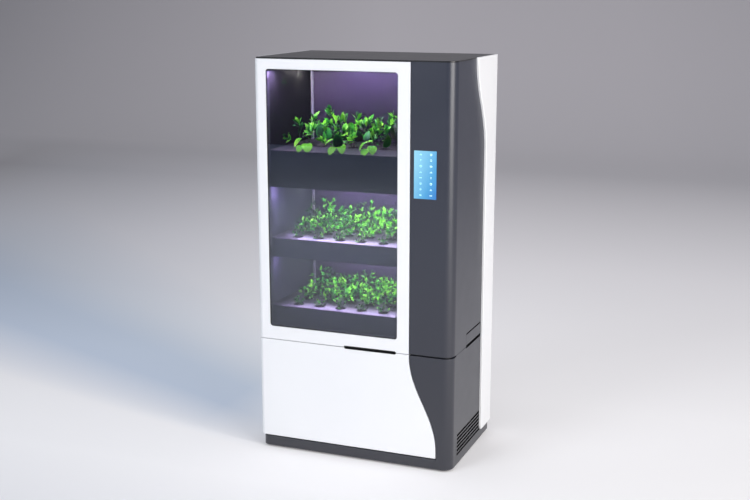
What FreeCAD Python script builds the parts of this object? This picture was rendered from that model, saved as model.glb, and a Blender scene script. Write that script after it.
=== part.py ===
"""Hydroponic growing cabinet: a glazed grow chamber with three planting levels over a
service compartment, with a dark control column down its right side. Millimetres, +Z up.
The origin is on the floor, under the centre of the cabinet. +X is to the right and the
doors face -Y."""
import FreeCAD
import Part
import math
import os

V = FreeCAD.Vector
TINY = 0.01

# Driving dimensions, across
width = 836.0               # overall, over both white side panels
side_panel = 10.0           # white outer side panel
side_wall = 20.0            # insulated left wall of the chamber
partition = 42.0            # insulated wall between chamber and control column
column_width = 174.0        # control column, from the partition to its right face
sheet = 3.0                 # moulded casings, plinth and rear cover
front_corner = 40.0         # rounding of the column's front corner
door_corner = 20.0          # rounding of both doors' hinge edge
plinth_corner = 25.0        # rounding of the plinth's left corner

# Driving dimensions, front to back
depth = 514.0
door_thickness = 36.0
door_skin = 22.0            # white outer part of each door
seal_gap = 6.0              # between closed door and carcass
back_wall = 18.0            # insulated wall behind the chamber
duct = 21.0                 # air gap between the back wall and the rear cover

# Driving dimensions, upwards
foot_height = 8.0
plinth_height = 40.0
base_thickness = 12.0
service_height = 434.0      # clear height of the service compartment
floor_thickness = 18.0      # between service compartment and chamber
roof_thickness = 18.0
roof_gap = 14.0
top_thickness = 6.0
seam_below_floor = 15.0     # the seam between the doors, under the chamber floor's underside
floor_rail = 42.0           # cross rail that hangs under the chamber floor's front edge
rail_depth = 20.0
foot_radius = 18.0
foot_pad = 6.0
foot_stud = 5.0
foot_inset = 60.0           # feet from the sides and the back

# Gaps
door_side_gap = 3.0
door_seam_gap = 3.0
door_top_gap = 1.0
door_bottom_gap = 5.0
casing_seam = 7.0           # dark groove between the casings, at the front and the corner
side_seam = 1.0             # the same seam along the side
groove_depth = 12.0
rest_gap = 0.3              # clearance between pieces that rest on each other
running = 0.09              # radial clearance of a pin in its bore

# Glazed door
frame_left = 50.0
frame_right = 49.0
frame_bottom = 52.5
frame_top = 39.0
window_corner = 12.0
glass_thickness = 4.0
glass_setback = 6.0         # front face of the glass behind the front of the door
glass_bite = 9.0            # glass held behind the frame on each side
seal_width = 12.0
seal_inset = 4.0            # seal from the outer edge of the wall that it closes on

# Hinges of both doors
hinge_x = 9.0               # axis from the cabinet's left face
hinge_y = 20.0              # axis from the doors' front face
pin_radius = 4.0
pin_reach = 24.0            # length of a pin inside a door
hinge_plate = 3.0
hinge_leg = 2.0

# Finger grip between the doors
grip_length = 222.0
grip_height = 14.0
grip_from_door_edge = 53.0
grip_depth = 20.0
grip_undercut = 16.0
grip_lip = 4.0
liner = 1.5

# Lower door
curve_top = 2.0             # start of the S curve under the seam
curve_bottom = 27.0         # end of the S curve above the plinth
curve_shift = 113.5         # how far the S curve moves the edge to the right
curve_pull = 150.0          # length of the S curve's end tangents

# Display
display_width = 90.0
display_height = 183.0
display_from_column = 13.0
display_centre = 1175.5
display_glass = 3.0
display_border = 6.0
display_box = 14.0
board_thickness = 1.6
board_margin = 8.0

# Filling hatch on the right side
hatch_front = 184.0         # from the cabinet's front
hatch_length = 190.0
hatch_height = 52.0
hatch_gap = 1.5
hatch_barrel = 4.0
hatch_pin = 1.5
hatch_grip = 7.0
ear = 6.0
funnel_wall = 2.5
funnel_drop = 30.0          # floor of the filling trough under the seam
funnel_sill = 6.0           # its open front edge above the seam

# White accent on the right side
accent_top_y = 254.0        # its front edge from the cabinet's front, at the top
accent_low_y = 381.0        # the same, below the S curve
accent_curve = 370.0        # height of its S curve
accent_pull = 150.0
accent_corner = 15.0
accent_chamfer = 2.0

# Louvres in the right side
louvre_front = 80.0
louvre_length = 318.0
louvre_count = 6
louvre_pitch = 15.6
louvre_slot = 7.5
louvre_first = 51.0         # height of the lowest slot's centre

# Planting levels, from the chamber floor upwards
lower_trough = 91.0
middle_trough = 49.0
upper_trough = 119.0
lower_clear = 206.0         # from the lower deck to the lights above it
middle_clear = 210.0
upper_clear = 317.0
deck_thickness = 4.0
shelf_thickness = 8.0
light_height = 14.0
light_width = 30.0
light_lens = 3.0
light_rim = 3.0
light_first = 82.0          # centre of the front bar behind the cabinet's front
light_step = 275.0          # from the front bar to the rear bar
fascia_drop = 2.0           # fascia below the underside of the lights
fascia_thickness = 3.0
fascia_inset = 8.0          # fascia behind the front of the carcass
trough_wall = 3.0
trough_side_gap = 2.0
trough_back_gap = 32.0

# Planting positions
pitch = 92.5
wide_pitch = 138.0          # on the upper level, for larger plants
hole_radius = 21.0
pot_stands = 1.5            # pot above the deck
pot_depth = 36.0
pot_taper = 0.2             # loss of radius for each millimetre down
pot_sides = 8
first_row = 46.0            # first row behind the fascia
edge_margin = 40.0          # least distance of a position from the chamber's sides
small_plant_radius = 40.0
small_plant_height = 100.0
large_plant_radius = 56.0
large_plant_height = 150.0
small_front_share = 0.45    # size of a plant in the front row to one in the back row
large_front_share = 0.85
crown_points = 5

# Riser pipe in the back left corner
riser_radius = 6.0
riser_offset = 4.0          # clear of the walls
spout_radius = 3.5
spout_drop = 10.0           # centre of a spout under its trough's rim
spout_reach = 10.0          # end of a spout inside its trough

# Service compartment
tank_length = 380.0
tank_height = 270.0
tank_wall = 4.0
tank_corner = 14.0
tank_margin = 20.0          # from the left wall
tank_front = 28.0           # behind the front of the carcass
tank_back = 22.0            # in front of the back wall
lid_thickness = 4.0
lid_lip = 10.0
pump_radius = 34.0
pump_height = 72.0
pump_cavity = 24.0
pump_cavity_height = 14.0
impeller_clearance = 1.0
impeller_vanes = 6
shaft_radius = 4.0
pipe_radius = 8.0
pipe_bend = 40.0
riser_foot = 30.0           # riser pipe below the chamber floor
fill_radius = 12.0
fill_drop = 30.0            # filling pipe under the tank's top
bottle_width = 50.0
bottle_corner = 10.0
bottle_height = 170.0
bottle_count = 3
cap_radius = 14.0
cap_height = 20.0

# Fan behind the louvres
fan_size = 80.0
fan_depth = 25.0
fan_wall = 3.0
fan_blades = 7
fan_hub = 18.0
fan_tip_gap = 1.5
blade_thickness = 1.6
blade_angle = 50.0

# Rear cover and mains inlet
rear_slot_count = 9
rear_slot = 5.0
rear_slot_pitch = 14.0
rear_slot_length = 240.0
inlet_width = 48.0
inlet_height = 28.0
inlet_depth = 30.0
socket_width = 24.0
socket_height = 17.0
socket_depth = 16.0
pin_setback = 6.0
inlet_from_right = 60.0
inlet_z = 150.0

# Power supply on the plinth
supply_length = 150.0
supply_width = 60.0
supply_height = 45.0
supply_slots = 5

# Derived places, across
left = -width / 2
right = width / 2
core_left = left + side_panel
core_right = right - side_panel
chamber_left = core_left + side_wall
column_left = core_right - column_width
chamber_right = column_left - partition
chamber_width = chamber_right - chamber_left
door_right = column_left - door_side_gap
column_inside = core_right - sheet

# Derived places, front to back
front = -depth / 2
back = depth / 2
door_back = front + door_thickness
carcass_front = door_back + seal_gap
cover_front = back - sheet
chamber_back = cover_front - duct - back_wall
fascia_front = carcass_front + fascia_inset
trough_front = fascia_front + fascia_thickness
trough_back = chamber_back - trough_back_gap

# Derived places, upwards
plinth_top = foot_height + plinth_height
floor_under = plinth_top + service_height
floor_top = floor_under + floor_thickness
seam = floor_under - seam_below_floor
lower_rim = floor_top + lower_trough
lower_deck = lower_rim + deck_thickness
middle_light = lower_deck + lower_clear
middle_shelf = middle_light + light_height
middle_base = middle_shelf + shelf_thickness
middle_rim = middle_base + middle_trough
middle_deck = middle_rim + deck_thickness
upper_light = middle_deck + middle_clear
upper_shelf = upper_light + light_height
upper_base = upper_shelf + shelf_thickness
upper_rim = upper_base + upper_trough
upper_deck = upper_rim + deck_thickness
roof_light = upper_deck + upper_clear
roof_under = roof_light + light_height
roof_top = roof_under + roof_thickness
top_under = roof_top + roof_gap
height = top_under + top_thickness
upper_door_bottom = seam + door_seam_gap / 2
upper_door_top = top_under - door_top_gap
lower_door_bottom = plinth_top + door_bottom_gap
lower_door_top = seam - door_seam_gap / 2
groove_bottom = seam - casing_seam / 2
groove_top = seam + casing_seam / 2
hinge_axis_x = left + hinge_x
hinge_axis_y = front + hinge_y
window_left = left + frame_left
window_right = door_right - frame_right
window_bottom = upper_door_bottom + frame_bottom
window_top = upper_door_top - frame_top
grip_right = door_right - grip_from_door_edge
grip_left = grip_right - grip_length


def box(x0, x1, y0, y1, z0, z1):
    return Part.makeBox(x1 - x0, y1 - y0, z1 - z0, V(x0, y0, z0))


def rod(radius, start, end):
    run = V(*end) - V(*start)
    return Part.makeCylinder(radius, run.Length, V(*start), run)


def fused(shapes):
    whole = shapes[0]
    for shape in shapes[1:]:
        whole = whole.fuse(shape)
    return whole.removeSplitter()


def outline(corners, place):
    """Closed wire through corners (a, b, radius), each rounded by its radius; place maps
    (a, b) to a point in space."""
    edges = []
    count = len(corners)
    ends = []
    for i, (a, b, radius) in enumerate(corners):
        here = V(a, b, 0)
        before = V(corners[i - 1][0], corners[i - 1][1], 0) - here
        after = V(corners[(i + 1) % count][0], corners[(i + 1) % count][1], 0) - here
        before.normalize()
        after.normalize()
        if radius <= 0:
            ends.append((here, here, None))
            continue
        half = before.getAngle(after) / 2
        reach = radius / math.tan(half)
        middle = before + after
        middle.normalize()
        nearest = radius / math.sin(half) - radius
        ends.append((here + before * reach, here + after * reach, here + middle * nearest))
    for i, (start, end, middle) in enumerate(ends):
        if middle is not None:
            edges.append(Part.Arc(place(start), place(middle), place(end)).toShape())
        following = ends[(i + 1) % count][0]
        if end.distanceToPoint(following) > TINY:
            edges.append(Part.makeLine(place(end), place(following)))
    return Part.Wire(Part.__sortEdges__(edges))


def plan(corners, z0, z1):
    """Prism with a rounded outline in plan."""
    wire = outline(corners, lambda p: V(p.x, p.y, z0))
    return Part.Face(wire).extrude(V(0, 0, z1 - z0))


def elevation(corners, y0, y1):
    """Prism with a rounded outline seen from the front."""
    wire = outline(corners, lambda p: V(p.x, y0, p.y))
    return Part.Face(wire).extrude(V(0, y1 - y0, 0))


def rounded_box(x0, x1, y0, y1, z0, z1, radius):
    return plan([(x0, y0, radius), (x1, y0, radius), (x1, y1, radius), (x0, y1, radius)], z0, z1)


def panel(x0, x1, z0, z1, radius, y0, y1):
    return elevation([(x0, z0, radius), (x1, z0, radius), (x1, z1, radius), (x0, z1, radius)], y0, y1)


def tube(points, bend, radius):
    """Round pipe along straight runs, with each corner cut off by bend and mitred."""
    path = [V(*points[0])]
    for before, corner, after in zip(points, points[1:], points[2:]):
        for end in (before, after):
            run = V(*end) - V(*corner)
            path.append(V(*corner) + run * (bend / run.Length))
    path.append(V(*points[-1]))
    spine = Part.makePolygon(path)
    section = Part.Wire(Part.makeCircle(radius, path[0], path[1] - path[0]))
    return spine.makePipeShell([section], True, False, 1)


def s_edge(x, z_high, z_low, shift, pull, place):
    """One S-shaped edge that leaves and arrives upright and moves sideways by shift."""
    curve = Part.BezierCurve()
    curve.setPoles([place(x, z_high), place(x, z_high - pull),
                    place(x + shift, z_low + pull), place(x + shift, z_low)])
    return curve.toShape()


def door_zone(gap, x_left, z_low, z_high, y0, y1):
    """Everything left of the lower door's S edge, moved right by gap, as a prism."""
    def place(x, z):
        return V(x, y0, z)
    start = lower_door_top - curve_top
    end = lower_door_bottom + curve_bottom
    x = door_right + gap
    far = x + curve_shift
    edges = [s_edge(x, start, end, curve_shift, curve_pull, place)]
    corners = [(far, end), (far, z_low), (x_left, z_low), (x_left, z_high), (x, z_high), (x, start)]
    for (x0, z0), (x1, z1) in zip(corners, corners[1:]):
        if abs(x1 - x0) + abs(z1 - z0) > TINY:
            edges.append(Part.makeLine(place(x0, z0), place(x1, z1)))
    wire = Part.Wire(Part.__sortEdges__(edges))
    return Part.Face(wire).extrude(V(0, y1 - y0, 0))


# Base and carcass

def make_plinth():
    """Skirt round the foot, open at the right where the lower casing closes it."""
    end = door_right - plinth_corner / 2
    outer = plan([(core_left, front, plinth_corner), (end, front, 0), (end, front + sheet, 0),
                  (core_left + sheet, front + sheet, plinth_corner - sheet),
                  (core_left + sheet, cover_front - sheet, 0), (column_inside, cover_front - sheet, 0),
                  (column_inside, cover_front, 0), (core_left, cover_front, 0)], foot_height, plinth_top)
    ledge = plan([(core_left + sheet, front + sheet, plinth_corner - sheet), (end, front + sheet, 0),
                  (end, carcass_front, 0), (core_left + sheet, carcass_front, 0)],
                 plinth_top - sheet, plinth_top)
    return fused([outer, ledge]), end


plinth, plinth_end = make_plinth()


def make_base_plate():
    return box(core_left + sheet, column_inside, carcass_front, cover_front - sheet,
               plinth_top - base_thickness, plinth_top)




def make_feet():
    feet = []
    for x in (core_left + foot_inset, core_right - foot_inset):
        for y in (carcass_front + foot_inset / 2, cover_front - foot_inset):
            pad = Part.Face(ring(foot_radius, 6, x, y, 0)).extrude(V(0, 0, foot_pad))
            stud = rod(foot_stud, (x, y, foot_pad), (x, y, plinth_top - base_thickness))
            feet.append(fused([pad, stud]))
    return Part.makeCompound(feet)


def make_left_wall():
    return box(core_left, chamber_left, carcass_front, cover_front, plinth_top, top_under)


def make_left_side_panel():
    return box(left, core_left, carcass_front + accent_chamfer, back, plinth_top, height)


fill_y = front + hatch_front + hatch_length / 2
fill_z = plinth_top + tank_height - fill_drop


def make_partition():
    wall = box(chamber_right, column_left, carcass_front, cover_front, plinth_top, top_under)
    return wall.cut(rod(fill_radius + rest_gap, (chamber_right, fill_y, fill_z), (column_left, fill_y, fill_z)))


def make_back_wall():
    return box(chamber_left, chamber_right, chamber_back, chamber_back + back_wall, plinth_top, top_under)


riser_x = chamber_left + riser_offset + riser_radius
riser_y = chamber_back - riser_offset - riser_radius


def make_chamber_floor():
    plate = box(chamber_left, chamber_right, carcass_front, chamber_back, floor_under, floor_top)
    rail = box(chamber_left, chamber_right, carcass_front, carcass_front + rail_depth,
               floor_under - floor_rail, floor_under)
    hole = rod(riser_radius + rest_gap, (riser_x, riser_y, floor_under), (riser_x, riser_y, floor_top))
    return fused([plate, rail]).cut(hole)


def make_chamber_roof():
    return box(chamber_left, chamber_right, carcass_front, chamber_back, roof_under, roof_top)


def make_top_panel():
    return plan([(core_left + accent_chamfer, front, 0), (core_right, front, front_corner),
                 (core_right, back, 0), (core_left, back, 0), (core_left, carcass_front, 0),
                 (core_left + accent_chamfer, carcass_front, 0)], top_under, height)


# Control column: two moulded casings with a dark groove between them

def column_band(x_left, inset, thickness, z0, z1, y_end):
    """Wall of the column in plan: front, rounded corner and right side."""
    x_out = core_right - inset
    y_out = front + inset
    outer = max(front_corner - inset, TINY)
    inner = max(front_corner - inset - thickness, TINY)
    return plan([(x_left, y_out, 0), (x_out, y_out, outer), (x_out, y_end, 0),
                 (x_out - thickness, y_end, 0), (x_out - thickness, y_out + thickness, inner),
                 (x_left, y_out + thickness, 0)], z0, z1)


groove_end = front + front_corner + groove_depth
display_left = column_left + display_from_column
display_bottom = display_centre - display_height / 2
display_top = display_centre + display_height / 2
hatch_y0 = front + hatch_front
hatch_y1 = hatch_y0 + hatch_length
hatch_bottom = seam + hatch_gap / 2
hatch_top = hatch_bottom + hatch_height
hatch_axis_x = core_right - hatch_barrel
hatch_axis_z = hatch_top - hatch_barrel


def make_upper_casing():
    wall = column_band(column_left, 0, sheet, groove_top, top_under, cover_front)
    skirt = box(column_inside, core_right, groove_end, cover_front, seam + side_seam / 2, groove_top)
    flange = box(column_left, column_left + sheet, front + sheet, carcass_front + rail_depth,
                 groove_top, top_under)
    shelf = column_band(column_left, sheet, groove_depth, groove_top, groove_top + sheet, groove_end)
    casing = fused([wall, skirt, flange, shelf])
    casing = casing.cut(box(display_left, display_left + display_width, front, front + sheet,
                            display_bottom, display_top))
    casing = casing.cut(box(column_inside, core_right, hatch_y0 - hatch_gap, hatch_y1 + hatch_gap,
                            seam, hatch_top + hatch_gap))
    ears = []
    for y in (hatch_y0 - hatch_gap - ear, hatch_y1 + hatch_gap):
        block = box(hatch_axis_x - hatch_barrel, column_inside, y, y + ear,
                    hatch_axis_z - hatch_barrel, hatch_axis_z + hatch_barrel)
        ears.append(block)
    casing = fused([casing] + ears)
    pin_hole = rod(hatch_pin + running, (hatch_axis_x, hatch_y0 - hatch_gap - ear, hatch_axis_z),
                   (hatch_axis_x, hatch_y1 + hatch_gap + ear, hatch_axis_z))
    return casing.cut(pin_hole)


def make_lower_casing():
    wall = column_band(plinth_end, 0, sheet, foot_height, groove_bottom, cover_front)
    skirt = box(column_inside, core_right, groove_end, cover_front, groove_bottom, seam - side_seam / 2)
    shelf = column_band(column_left, sheet, groove_depth, groove_bottom - sheet, groove_bottom, groove_end)
    zone = door_zone(door_side_gap, left, plinth_top, height, front, carcass_front)
    wide_zone = door_zone(door_side_gap + sheet, left, plinth_top - sheet, height, front, carcass_front)
    reach = box(plinth_end, core_right - front_corner, front, carcass_front, foot_height, groove_bottom)
    rim = wide_zone.cut(zone).common(reach)
    casing = fused([wall, skirt, shelf]).cut(zone)
    casing = fused([casing, rim])
    for n in range(louvre_count):
        z = louvre_first + n * louvre_pitch
        casing = casing.cut(box(column_inside, core_right, front + louvre_front,
                                front + louvre_front + louvre_length,
                                z - louvre_slot / 2, z + louvre_slot / 2))
    return casing.cut(box(column_inside, core_right, hatch_y0, hatch_y1, seam - hatch_grip, seam))


def make_seam_strip():
    return column_band(column_left, groove_depth, sheet, groove_bottom, groove_top, groove_end)


def make_side_accent():
    """White panel on the right side, with an S-shaped front edge."""
    def place(y, z):
        return V(core_right, y, z)
    high = front + accent_top_y
    low = front + accent_low_y
    turn = height - accent_curve
    curve = Part.BezierCurve()
    curve.setPoles([place(high, height), place(high, height - accent_pull),
                    place(low, turn + accent_pull), place(low, turn)])
    bottom = plinth_top
    across = accent_corner * (1 - math.sqrt(0.5))
    edges = [curve.toShape(), Part.makeLine(place(low, turn), place(low, bottom + accent_corner)),
             Part.Arc(place(low, bottom + accent_corner), place(low + across, bottom + across),
                      place(low + accent_corner, bottom)).toShape(),
             Part.makeLine(place(low + accent_corner, bottom), place(back, bottom)),
             Part.makeLine(place(back, bottom), place(back, height)),
             Part.makeLine(place(back, height), place(high, height))]
    solid = Part.Face(Part.Wire(edges)).extrude(V(side_panel, 0, 0))
    outer = [e for e in solid.Edges if all(abs(v.X - right) < TINY for v in e.Vertexes)
             and max(v.Y for v in e.Vertexes) < back - TINY]
    return solid.makeChamfer(accent_chamfer, outer)


# Display and electronics

def make_display_glass():
    return box(display_left + rest_gap, display_left + display_width - rest_gap, front, front + display_glass,
               display_bottom + rest_gap, display_top - rest_gap)


def make_display_housing():
    tray = box(display_left - display_border, display_left + display_width + display_border,
               front + sheet, front + sheet + display_box,
               display_bottom - display_border, display_top + display_border)
    hollow = box(display_left + display_border, display_left + display_width - display_border,
                 front + 2 * sheet, front + sheet + display_box,
                 display_bottom + display_border, display_top - display_border)
    return tray.cut(hollow)




def make_control_board():
    y = front + sheet + display_box
    x0 = display_left + display_border - board_margin / 2
    x1 = display_left + display_width - display_border + board_margin / 2
    z0 = display_bottom
    z1 = display_top
    board = box(x0, x1, y, y + board_thickness, z0, z1)
    third = (z1 - z0) / 3
    chip = box(x0 + board_margin, x0 + 4 * board_margin, y + board_thickness, y + 3 * board_thickness,
               z0 + third, z0 + third + 3 * board_margin)
    socket = box(x1 - 3 * board_margin, x1 - board_margin, y + board_thickness, y + board_margin,
                 z0 + board_margin, z0 + 5 * board_margin)
    driver = box(x0 + board_margin, x1 - board_margin, y + board_thickness, y + 4 * board_thickness,
                 z0 + 2 * third, z0 + 2 * third + 2 * board_margin)
    return fused([board, chip, socket, driver])




def make_power_supply():
    """Caged power supply on the base plate, with vent slots in its top."""
    x0 = column_left + sheet
    y1 = cover_front - duct
    y0 = y1 - supply_length
    body = box(x0, x0 + supply_width, y0, y1, plinth_top, plinth_top + supply_height)
    step = supply_length / (supply_slots + 1)
    for n in range(supply_slots):
        y = y0 + (n + 1) * step
        body = body.cut(box(x0 + sheet, x0 + supply_width - sheet, y - sheet / 2, y + sheet / 2,
                            plinth_top + supply_height - sheet, plinth_top + supply_height))
    return body


# Rear cover and mains inlet

inlet_x = core_right - inlet_from_right


def make_rear_cover():
    cover = box(core_left, core_right, cover_front, back, plinth_top, top_under)
    middle = (chamber_left + chamber_right) / 2
    cuts = []
    for base in (plinth_top + 2 * rear_slot_pitch, top_under - (rear_slot_count + 1) * rear_slot_pitch):
        for n in range(rear_slot_count):
            z = base + n * rear_slot_pitch
            cuts.append(box(middle - rear_slot_length / 2, middle + rear_slot_length / 2,
                            cover_front, back, z, z + rear_slot))
    cuts.append(box(inlet_x - inlet_width / 2 - rest_gap, inlet_x + inlet_width / 2 + rest_gap,
                    cover_front, back, inlet_z - inlet_height / 2 - rest_gap,
                    inlet_z + inlet_height / 2 + rest_gap))
    return cover.cut(Part.makeCompound(cuts))


def inlet_block(half_width, half_height, cut_corner, y0, y1):
    """Block round the inlet's axis, with its two top corners cut off."""
    x0 = inlet_x - half_width
    x1 = inlet_x + half_width
    z0 = inlet_z - half_height
    z1 = inlet_z + half_height
    return elevation([(x0, z0, 0), (x1, z0, 0), (x1, z1 - cut_corner, 0), (x1 - cut_corner, z1, 0),
                      (x0 + cut_corner, z1, 0), (x0, z1 - cut_corner, 0)], y0, y1)


def make_power_inlet():
    """Mains inlet: a moulded body with a socket that holds three flat pins."""
    body = inlet_block(inlet_width / 2, inlet_height / 2, TINY, back - inlet_depth, back)
    snap = inlet_block(inlet_width / 2 + sheet, inlet_height / 2 + sheet, TINY,
                       cover_front - rest_gap - sheet, cover_front - rest_gap)
    socket = inlet_block(socket_width / 2, socket_height / 2, sheet, back - socket_depth, back)
    pins = []
    for n in (-1, 0, 1):
        x = inlet_x + n * socket_width / 4
        z = inlet_z + (socket_height / 8 if n == 0 else -socket_height / 8)
        pins.append(box(x - 1, x + 1, back - socket_depth, back - pin_setback, z - 2, z + 2))
    return fused([fused([body, snap]).cut(socket)] + pins)


# Doors

hinge_nose = 1.5 * pin_radius
hinge_reach = chamber_left - hinge_leg


def door_plate(x_right, z0, z1, y0, y1):
    """Plate over a door's outline, with its hinge edge rounded at the front."""
    return plan([(left, y0, door_corner), (x_right, y0, 0), (x_right, y1, 0), (left, y1, 0)], z0, z1)


def hinge_notch():
    """Room for the middle hinge plate, behind the front of both doors."""
    half = (hinge_plate + door_seam_gap) / 2
    return box(left, hinge_reach + 2 * door_side_gap, hinge_axis_y - hinge_nose - door_side_gap,
               carcass_front, seam - half, seam + half)


def pin_bores(z0, z1):
    """Bores for the pins at a door's two ends, each a little deeper than its pin."""
    bores = []
    for low, high in ((z0, z0 + pin_reach + hinge_plate), (z1 - pin_reach - hinge_plate, z1)):
        bores.append(rod(pin_radius + running, (hinge_axis_x, hinge_axis_y, low),
                         (hinge_axis_x, hinge_axis_y, high)))
    return Part.makeCompound(bores)


def grip_cut(extra):
    """Finger slot on the seam, with an undercut above and below behind its lips."""
    half = grip_height / 2
    slot = panel(grip_left + extra, grip_right - extra, seam - half, seam + half, half - TINY,
                 front, front + grip_depth)
    pocket = panel(grip_left + extra, grip_right - extra, seam - grip_undercut - half + extra,
                   seam + grip_undercut + half - extra, half, front + grip_lip + extra,
                   front + grip_depth - extra)
    return slot, pocket


def above(shape):
    return shape.common(box(left, right, front, back, upper_door_bottom, height))


def below(shape):
    return shape.common(box(left, right, front, back, 0, lower_door_top))


slot_cut, pocket_cut = grip_cut(0)


def make_door_frame():
    """White outer frame, with a rebate for the glass behind the window's edge."""
    frame = door_plate(door_right, upper_door_bottom, upper_door_top, front, front + door_skin)
    frame = frame.cut(panel(window_left, window_right, window_bottom, window_top, window_corner,
                            front, front + door_skin))
    frame = frame.cut(panel(window_left - glass_bite - rest_gap, window_right + glass_bite + rest_gap,
                            window_bottom - glass_bite - rest_gap, window_top + glass_bite + rest_gap,
                            0, front + glass_setback, front + door_skin))
    frame = frame.cut(slot_cut).cut(pocket_cut).cut(hinge_notch())
    return frame.cut(pin_bores(upper_door_bottom, upper_door_top))


def make_door_glass():
    return panel(window_left - glass_bite, window_right + glass_bite, window_bottom - glass_bite,
                 window_top + glass_bite, 0, front + glass_setback,
                 front + glass_setback + glass_thickness)


def make_door_inner_frame():
    """Inner frame that clamps the glass into the outer frame's rebate."""
    ring = box(left + side_seam, door_right, front + door_skin, door_back, upper_door_bottom, upper_door_top)
    clamp = panel(window_left - glass_bite, window_right + glass_bite, window_bottom - glass_bite,
                  window_top + glass_bite, 0, front + glass_setback + glass_thickness,
                  front + door_skin)
    hole = panel(window_left, window_right, window_bottom, window_top, window_corner, front, door_back)
    frame = fused([ring, clamp]).cut(hole).cut(hinge_notch())
    return frame.cut(pin_bores(upper_door_bottom, upper_door_top))


def make_door_seal():
    x0 = core_left + seal_inset
    x1 = chamber_right + partition / 2
    z0 = floor_under + seal_inset
    z1 = roof_top - seal_inset
    outer = box(x0, x1, door_back, carcass_front - rest_gap, z0, z1)
    return outer.cut(box(x0 + seal_width, x1 - seal_width, door_back, carcass_front,
                         z0 + seal_width, z1 - seal_width))


def grip_liner():
    inner_slot, inner_pocket = grip_cut(liner)
    shell = fused([slot_cut.cut(box(left, right, front, front + grip_lip, 0, height)), pocket_cut])
    return shell.cut(inner_pocket).cut(panel(grip_left + liner, grip_right - liner, seam - grip_height / 2,
                                             seam + grip_height / 2, grip_height / 2 - TINY,
                                             front, front + grip_depth - liner))


def make_upper_grip():
    return above(grip_liner())


def make_lower_grip():
    return below(grip_liner())


def make_lower_skin():
    """White front of the lower door, with an S-shaped free edge."""
    skin = door_plate(core_right, lower_door_bottom, lower_door_top, front, front + door_skin)
    skin = skin.common(door_zone(0, left, lower_door_bottom, lower_door_top, front, front + door_skin))
    skin = skin.cut(slot_cut).cut(pocket_cut).cut(hinge_notch())
    return skin.cut(pin_bores(lower_door_bottom, lower_door_top))


def make_lower_pan():
    """Inner pan of the lower door, hollowed at the back."""
    pan = box(left + side_seam, core_right, front + door_skin, door_back, lower_door_bottom, lower_door_top)
    pan = pan.common(door_zone(-side_seam, left, lower_door_bottom, lower_door_top,
                               front + door_skin, door_back))
    hollow = box(chamber_left, door_right - partition, front + door_skin + sheet, door_back,
                 lower_door_bottom + partition, lower_door_top - partition)
    pan = pan.cut(hollow).cut(hinge_notch())
    return pan.cut(pin_bores(lower_door_bottom, lower_door_top))


def make_hinge_brackets():
    """Middle plate between the doors and bottom plate on the plinth, each with a leg on the wall."""
    brackets = []
    for z0, leg_low, leg_high in ((seam - hinge_plate / 2, -pin_reach, floor_thickness - hinge_plate),
                                  (plinth_top, 0, pin_reach)):
        plate = box(core_left, hinge_reach, hinge_axis_y - hinge_nose, carcass_front, z0, z0 + hinge_plate)
        leg = box(core_left + rest_gap, hinge_reach, carcass_front - hinge_leg, carcass_front,
                  z0 + leg_low, z0 + leg_high)
        start = (hinge_axis_x, hinge_axis_y, z0)
        end = (hinge_axis_x, hinge_axis_y, z0 + hinge_plate)
        bracket = fused([plate, leg, rod(hinge_nose, start, end)])
        brackets.append(bracket.cut(rod(pin_radius, start, end)))
    return Part.makeCompound(brackets)


def make_hinge_pins():
    x, y = hinge_axis_x, hinge_axis_y
    top = rod(pin_radius, (x, y, upper_door_top - pin_reach), (x, y, top_under))
    middle = rod(pin_radius, (x, y, seam - pin_reach), (x, y, seam + pin_reach))
    bottom = rod(pin_radius, (x, y, plinth_top), (x, y, lower_door_bottom + pin_reach))
    return Part.makeCompound([top, middle, bottom])


def make_hatch():
    """Flap with a barrel along its top edge and a stub pin at each end."""
    flap = box(column_inside, core_right, hatch_y0, hatch_y1, hatch_bottom, hatch_axis_z)
    barrel = rod(hatch_barrel, (hatch_axis_x, hatch_y0, hatch_axis_z), (hatch_axis_x, hatch_y1, hatch_axis_z))
    stubs = rod(hatch_pin, (hatch_axis_x, hatch_y0 - hatch_gap - ear / 2, hatch_axis_z),
                (hatch_axis_x, hatch_y1 + hatch_gap + ear / 2, hatch_axis_z))
    rib = box(column_inside - sheet, column_inside, hatch_y0 + ear, hatch_y1 - ear,
              hatch_bottom + sheet, hatch_bottom + 2 * sheet)
    return fused([flap, barrel, stubs, rib])


# Planting levels

def positions(step):
    """Grid of planting positions: as many as fit, centred across the chamber."""
    columns = int((chamber_width - 2 * edge_margin) / step) + 1
    rows = int((trough_back - trough_wall - trough_front - first_row - hole_radius) / step) + 1
    middle = (chamber_left + chamber_right) / 2
    places = []
    for row in range(rows):
        for column in range(columns):
            places.append((middle + (column - (columns - 1) / 2) * step,
                           trough_front + first_row + row * step))
    return places


def make_trough(z0, z1):
    outer = box(chamber_left + trough_side_gap, chamber_right - trough_side_gap, trough_front,
                trough_back, z0, z1)
    inner = box(chamber_left + trough_side_gap + trough_wall, chamber_right - trough_side_gap - trough_wall,
                trough_front + trough_wall, trough_back - trough_wall, z0 + trough_wall, z1)
    spout = rod(spout_radius + running, (riser_x, trough_back - spout_reach, z1 - spout_drop),
                (riser_x, trough_back, z1 - spout_drop))
    return outer.cut(inner).cut(spout)


def make_fascias():
    heights = ((floor_top + fascia_drop, lower_deck), (middle_light - fascia_drop, middle_deck),
               (upper_light - fascia_drop, upper_deck))
    return Part.makeCompound([box(chamber_left, chamber_right, fascia_front, trough_front, z0, z1)
                              for z0, z1 in heights])


def make_shelves():
    return Part.makeCompound([box(chamber_left, chamber_right, trough_front, trough_back, z, z + shelf_thickness)
                              for z in (middle_shelf, upper_shelf)])


light_places = (front + light_first, front + light_first + light_step)
light_levels = (middle_light, upper_light, roof_light)


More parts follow.
